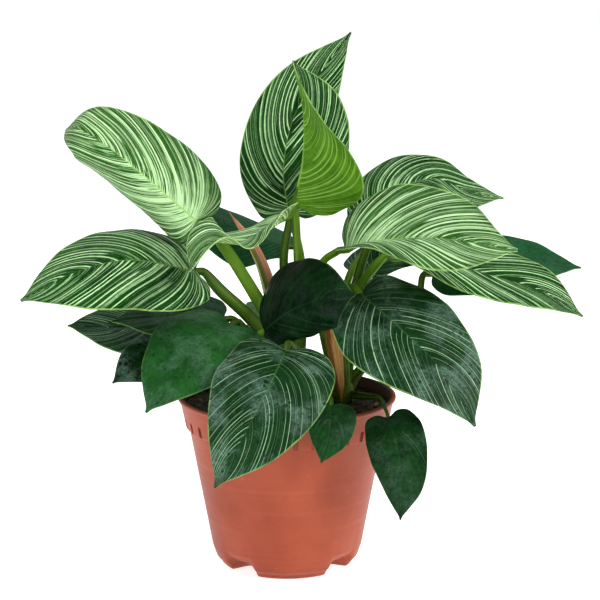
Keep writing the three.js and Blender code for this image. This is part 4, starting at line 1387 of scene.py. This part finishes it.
# %% Pot material
RIM_HEIGHT, COLLAR_SLOPE = 0.11, 0.202
pot_material, tree = new_material("pot_plastic")
place = object_place(tree)
px, py, pz = split_vector(place)
clouds, grain = noise_of(place, 26.0, 4.0, 0.55), noise_of(place, 1300.0)
rings = noise_of(combined(tree, px * 6.0, py * 6.0, pz * 260.0), 1.0)
scuffs = noise_of(combined(tree, px * 90.0, py * 90.0, pz * 420.0), 1.0, 3.0, 0.7)
dirt = ramp(pz, 0.0, 0.012, 0.6, 0.0) + ramp(pz, 0.106, 0.1085, 0.0, 0.35)
collar_reach = combined(tree, px, py, 0.0).join("LENGTH") + (RIM_HEIGHT - pz) * COLLAR_SLOPE
# Painted shade: the inner wall above the soil is darkened.
inside = ramp(collar_reach, 0.0676, 0.0681, 1.0, 0.0) * ramp(pz, 0.099, 0.1005)
slot_band = ramp(pz, 0.0885, 0.09) * ramp(pz, 0.098, 0.0985, 1.0, 0.0)
# Painted shade: the slots in the collar's lower edge are darkened.
slot_shade = (slot_band * ramp(collar_reach, 0.0683, 0.0687, 1.0, 0.0)
           * ramp(collar_reach, 0.0668, 0.0671))
colour = layered(
    paint(146, 60, 34), (ramp(clouds, 0.3, 0.7), paint(164, 74, 46)),
    (ramp(rings, 0.5, 0.8) * 0.16, paint(200, 106, 78)),
    (ramp(scuffs, 0.64, 0.78) * 0.18, paint(206, 140, 116)),
    (ramp(grain, 0.3, 0.8) * 0.12, paint(140, 62, 44)),
    (dirt * ramp(scuffs, 0.4, 0.7), paint(96, 58, 44)),
    # painted shade on the inner wall and in the slots
    (inside * 0.75, paint(60, 28, 20)), (slot_shade * 0.6, paint(128, 48, 34)))
coat(pot_material, colour, clouds * 0.16 + scuffs * 0.2 + 0.28,
     clouds * 2.0 + rings * 0.5 + grain * 0.12, 0.3, 0.0006, 0.25)

# %% Cut the slots and the drain holes
SLOT_WIDTH, SLOT_HEIGHT, SLOT_DEPTH, CUTTER_LENGTH = 3.2, 8, 1.4, 4
COLLAR_RADIUS, COLLAR_FOOT, COLLAR_LEAN = 64.75, 89.5, 0.2
DRAIN_RADIUS, DRAIN_RING, DRAIN_REACH = 2.6, 38, 20


def cut_away(piece, tool):
    """Takes the tool's shape out of the piece and removes the tool."""
    cut = piece.modifiers.new("cut", "BOOLEAN")
    cut.object, cut.operation, cut.solver = tool, "DIFFERENCE", "EXACT"
    piece.data = baked(piece, cut)
    bpy.data.objects.remove(tool)


slot_builder = bmesh.new()
bmesh.ops.create_cube(slot_builder, size=1.0, matrix=(
    Matrix.Translation(((CUTTER_LENGTH / 2 - SLOT_DEPTH) * MM, 0, 0))
    @ Matrix.Diagonal((CUTTER_LENGTH * MM, SLOT_WIDTH * MM, 2 * SLOT_HEIGHT * MM, 1))))
bmesh.ops.bevel(slot_builder, geom=slot_builder.edges[:], offset=0.5 * MM, segments=2,
                affect="EDGES", profile=0.6)
cutters = run_tree("slot_cutters", mesh_from(slot_builder, "one_slot"), cutter_tree, {
    "Ring Radius": COLLAR_RADIUS * MM, "Height": COLLAR_FOOT * MM,
    "Lean": math.atan(COLLAR_LEAN), "Count": SLOT_COUNT, "Material": pot_material})
pot_mesh.materials.append(pot_material)
cut_away(pot, cutters)
for i in range(4):
    angle = FOOT_TURN + math.pi / 4 + i * math.pi / 2
    centre = (DRAIN_RING * math.cos(angle), DRAIN_RING * math.sin(angle))
    cut_away(pot, rod("drain", DRAIN_RADIUS, -DRAIN_REACH, DRAIN_REACH, 32, centre))
pot.data.set_sharp_from_angle(angle=math.radians(40))
finish_piece(pot, ["pot"])

# %% [markdown]
# ## Soil
# Potting soil is a dark, crumbly peat with bark chips and pale fibres. Its top is
# turned as a gentle mound and roughened with noise; then a tree scatters crumbs and
# fibres on it at random, with a fixed seed, so the plant looks the same every time.

# %% Soil body
SOIL_RADIUS, SOIL_MOUND, SOIL_RINGS, SOIL_SIDES = 64.8, 2.2, 24, 144
ROUGH_ABOVE, MOST_ROUGH = 0.1032, 0.0016


def soil_height(radius, margin_height=SOIL_TOP):
    """The height of the mound at a distance from the axis, in millimetres."""
    return margin_height + SOIL_MOUND * (1 - radius / SOIL_RADIUS) ** 0.7


soil_profile = [
    (0, 3.2), (28, 3.2), (34, 3.7), (38.6, 3.9), (42.6, 7.2), (46.5, 12.4), (61, 90.3),
    (62.2, 92.3), (64.1, 99), (65.05, 103.1)]
for k in range(SOIL_RINGS):
    radius = SOIL_RADIUS * (1 - k / SOIL_RINGS)
    soil_profile.append((radius, soil_height(radius)))
soil_profile.append((0, SOIL_TOP + SOIL_MOUND))
soil_mesh = lathe(in_metres(soil_profile), SOIL_SIDES)
raise_notches(soil_mesh)
for vertex in soil_mesh.vertices:
    if vertex.co.z > ROUGH_ABOVE:
        rough = noise.fractal(vertex.co * 160, 1.0, 2.1, 4) * 0.0011
        fine_rough = noise.noise(vertex.co * 700) * 0.0004
        vertex.co.z += max(min(rough + fine_rough, MOST_ROUGH), -MOST_ROUGH)
soil_mesh.shade_smooth()
soil = link_object("soil_bed", soil_mesh)
for x, y, radius, _ in STEMS.values():
    cut_away(soil, rod("stem_hole", radius + GAP, STEM_FOOT - GAP, 125, 48, (x, y)))
print("soil bed", len(soil.data.polygons), "faces")

# %% Soil material
soil_material, tree = new_material("potting_soil")
place = object_place(tree)
lumps, specks = noise_of(place, 240.0, 5.0, 0.7), noise_of(place, 1500.0, 2.0, 0.6)
kind = attribute(tree, "bit_kind")
colour = layered(
    paint(20, 13, 10), (ramp(lumps, 0.35, 0.65), paint(52, 35, 24)),
    (ramp(specks, 0.6, 0.75) * 0.6, paint(92, 66, 44)),
    (ramp(kind, 0.62, 0.7), paint(88, 56, 32)), (ramp(kind, 0.86, 0.93), paint(134, 96, 58)))
coat(soil_material, colour, lumps * 0.3 + 0.65, lumps + specks * 0.3, 0.9, 0.0012)
soil.data.materials.append(soil_material)

# %% [markdown]
# ### Crumbs and fibres
# Each crumb is one rough little lump with a few dozen faces, and each fibre is a bent
# thread. The tree drops them on the soil patch with random turn and size, and stores a
# random number on each that picks its brown.

# %% Scatter tree
scatter_tree, bits_in, bits_out = geometry_tree("scatter_bits", [
    ("Bit", "Object", None), ("Density", "Float", 1000.0), ("Smallest", "Float", 0.5),
    ("Largest", "Float", 2.0), ("Tip", "Float", 3.0), ("Sink", "Float", 0.0),
    ("Seed", "Int", 0)])


def random_number(low, high, seed_shift):
    return made(scatter_tree, "FunctionNodeRandomValue", {
        "Min_001": low, "Max_001": high, "Seed": bits_in["Seed"] + float(seed_shift),
    }, "Value_001", data_type="FLOAT")


dots = made(scatter_tree, "GeometryNodeDistributePointsOnFaces", {
    "Mesh": bits_in["Geometry"], "Density": bits_in["Density"], "Seed": bits_in["Seed"]},
    distribute_method="RANDOM")
tip = bits_in["Tip"]
size = between(bits_in["Smallest"], bits_in["Largest"], random_number(0.0, 1.0, 3) ** 2.2)
laid = made(scatter_tree, "GeometryNodeInstanceOnPoints", {
    "Points": dots, "Instance": shape_of(bits_in["Bit"]),
    "Rotation": combined(scatter_tree, random_number(tip * -1.0, tip, 1),
                         random_number(tip * -1.0, tip, 2), random_number(0.0, 6.283, 4)),
    "Scale": combined(scatter_tree, size, size, size)})
laid = store(laid, "bit_kind", random_number(0.0, 1.0, 5), domain="INSTANCE")
laid = made(scatter_tree, "GeometryNodeTransform", {
    "Geometry": laid, "Translation": combined(scatter_tree, 0.0, 0.0, bits_in["Sink"] * -1.0)})
end_tree(bits_out, laid, bits_in["Material"])

# %% One crumb and one fibre
FIBRE_POINTS, FIBRE_GIRTH, FIBRE_CORNERS = 8, 0.00022, (0.5, 2.594, 4.689)
FIBRE_ROUTE = [(-6, 0, 0), (-2, 1.5, 0.4), (2, 0.8, 0.8), (6, -1, 0)]
crumb_builder = bmesh.new()
bmesh.ops.create_icosphere(crumb_builder, subdivisions=2, radius=0.001)
for vertex in crumb_builder.verts:
    vertex.co *= 1 + 0.45 * noise.noise(vertex.co * 1400)
    vertex.co.z *= 0.7
crumb = link_object("crumb", mesh_from(crumb_builder, "crumb"))


def fibre_mesh():
    """A bent thread with three sides, thinner at both ends."""
    points, faces, middle = [], [], (FIBRE_POINTS - 1) / 2
    for k, p in enumerate(smooth_path(in_metres(FIBRE_ROUTE), FIBRE_POINTS)):
        girth = FIBRE_GIRTH * (1 - 0.5 * abs(k - middle) / middle)
        points += [p + Vector((0, girth * math.cos(a), girth * math.sin(a)))
                   for a in FIBRE_CORNERS]
    for k in range(0, len(points) - 3, 3):
        for i in range(3):
            a, b = k + i, k + (i + 1) % 3
            faces.append((a, b, b + 3, a + 3))
    last = len(points) - 3
    return mesh_of("fibre", points, faces=[*faces, (2, 1, 0), (last, last + 1, last + 2)])


fibre = link_object("fibre", fibre_mesh())
print("crumb", len(crumb.data.polygons), "faces, fibre", len(fibre.data.polygons))

# %% Scatter crumbs and fibres on the soil
PATCH_RADIUS, PATCH_RINGS, PATCH_SIDES = 62.5, 6, 48
PATCH_SINK, PATCH_PEAK = 0.1, 105.5


def soil_patch():
    """A disc at the height of the soil's top, a little inside the wall, for scattering."""
    points, faces = [(0, 0, PATCH_PEAK * MM)], []
    for k in range(1, PATCH_RINGS + 1):
        radius = PATCH_RADIUS * k / PATCH_RINGS
        height = soil_height(radius, SOIL_TOP - PATCH_SINK)
        points += ring_of(radius * MM, height * MM, PATCH_SIDES)
    for i in range(PATCH_SIDES):
        j = (i + 1) % PATCH_SIDES
        faces.append((0, 1 + i, 1 + j))
        for k in range(PATCH_RINGS - 1):
            a, b = 1 + k * PATCH_SIDES, 1 + (k + 1) * PATCH_SIDES
            faces.append((a + i, b + i, b + j, a + j))
    return mesh_of("soil_patch", points, faces=faces)


crumbs = run_tree("crumbs", soil_patch(), scatter_tree, {
    "Bit": crumb, "Density": 90000.0, "Smallest": 0.35, "Largest": 2.3, "Seed": 4,
    "Sink": 0.0003, "Material": soil_material})
fibres = run_tree("fibres", soil_patch(), scatter_tree, {
    "Bit": fibre, "Density": 12000.0, "Smallest": 0.5, "Largest": 1.5, "Tip": 0.25, "Seed": 9,
    "Sink": -0.0006, "Material": soil_material})
join_pieces(soil, crumbs, fibres)
for helper in (crumb, fibre):
    bpy.data.objects.remove(helper)
finish_piece(soil, ["soil"])

# %% [markdown]
# ## Floor, light and camera
# The plant stands on a plain pale floor in a soft white studio: a large soft light from
# the upper right, weaker ones from the left and from above, and a bright surround that
# fills the shadows and gives the waxy leaves something to reflect.

# %% Studio floor and surround
WHITE = (1, 1, 1, 1)
FLOOR_REACH = 9
corners = [(-FLOOR_REACH, -FLOOR_REACH, 0), (FLOOR_REACH, -FLOOR_REACH, 0),
           (FLOOR_REACH, FLOOR_REACH, 0), (-FLOOR_REACH, FLOOR_REACH, 0)]
floor = link_object("studio_floor", mesh_of("floor", corners, faces=[(0, 1, 2, 3)]))
floor.location.z = -0.0003
floor_material, tree = new_material("studio_floor")
for label, value in {"Base Color": (0.93, 0.93, 0.93, 1), "Roughness": 0.8,
                     "Specular IOR Level": 0.1, "Emission Color": WHITE,
                     "Emission Strength": 0.72}.items():
    tree.nodes["Principled BSDF"].inputs[label].default_value = value
floor.data.materials.append(floor_material)

world = bpy.data.worlds.new("studio")
bpy.context.scene.world = world
world.use_nodes = True
# The surround looks white to the camera, but lights the plant less than that.
lit = world.node_tree.nodes["Background"]
lit.inputs["Color"].default_value = WHITE
lit.inputs["Strength"].default_value = 0.38
seen = made(world.node_tree, "ShaderNodeBackground", {"Color": WHITE, "Strength": 1.0})
sight = made(world.node_tree, "ShaderNodeLightPath", output="Is Camera Ray")
either = add_node(world.node_tree, "ShaderNodeMixShader")
for socket, value in zip(either.inputs, (sight, out_of(lit), seen)):
    plug(socket, value)
plug(world.node_tree.nodes["World Output"].inputs[0], out_of(either))
print("surround nodes", len(world.node_tree.nodes))

# %% Lights
def soft_light(name, place, target, size, power):
    data = bpy.data.lights.new(name, "AREA")
    data.shape, data.size, data.energy = "DISK", size, power
    light = link_object(name, data)
    light.location = place
    aim = Vector(target) - Vector(place)
    light.rotation_euler = aim.to_track_quat("-Z", "Y").to_euler()
    print(name, "light, watts", power)


soft_light("key", (1.35, -0.9, 1.3), (0, 0, 0.18), 1.1, 31)
soft_light("fill", (-1.3, -1.0, 0.9), (0, 0, 0.15), 1.0, 8)
soft_light("top", (-0.2, 0.5, 1.6), (0, 0, 0.15), 1.0, 8)

# %% Camera
LENS, SENSOR_WIDTH, LOOKS_DOWN = 101.88, 36, 10.73
camera_data = bpy.data.cameras.new("camera")
camera_data.lens, camera_data.sensor_width = LENS, SENSOR_WIDTH
camera_data.clip_start, camera_data.clip_end = 0.05, 50
camera = link_object("camera", camera_data)
camera.location = (0.0084, -1.060, 0.372)
camera.rotation_euler = (math.radians(90 - LOOKS_DOWN), 0, 0)
bpy.context.scene.camera = camera
bpy.context.scene.view_settings.view_transform = "Standard"
print("camera at", camera.location[:])

# %% [markdown]
# ## Closing
# The finer surfaces have to stay inside the packed ones' reach.
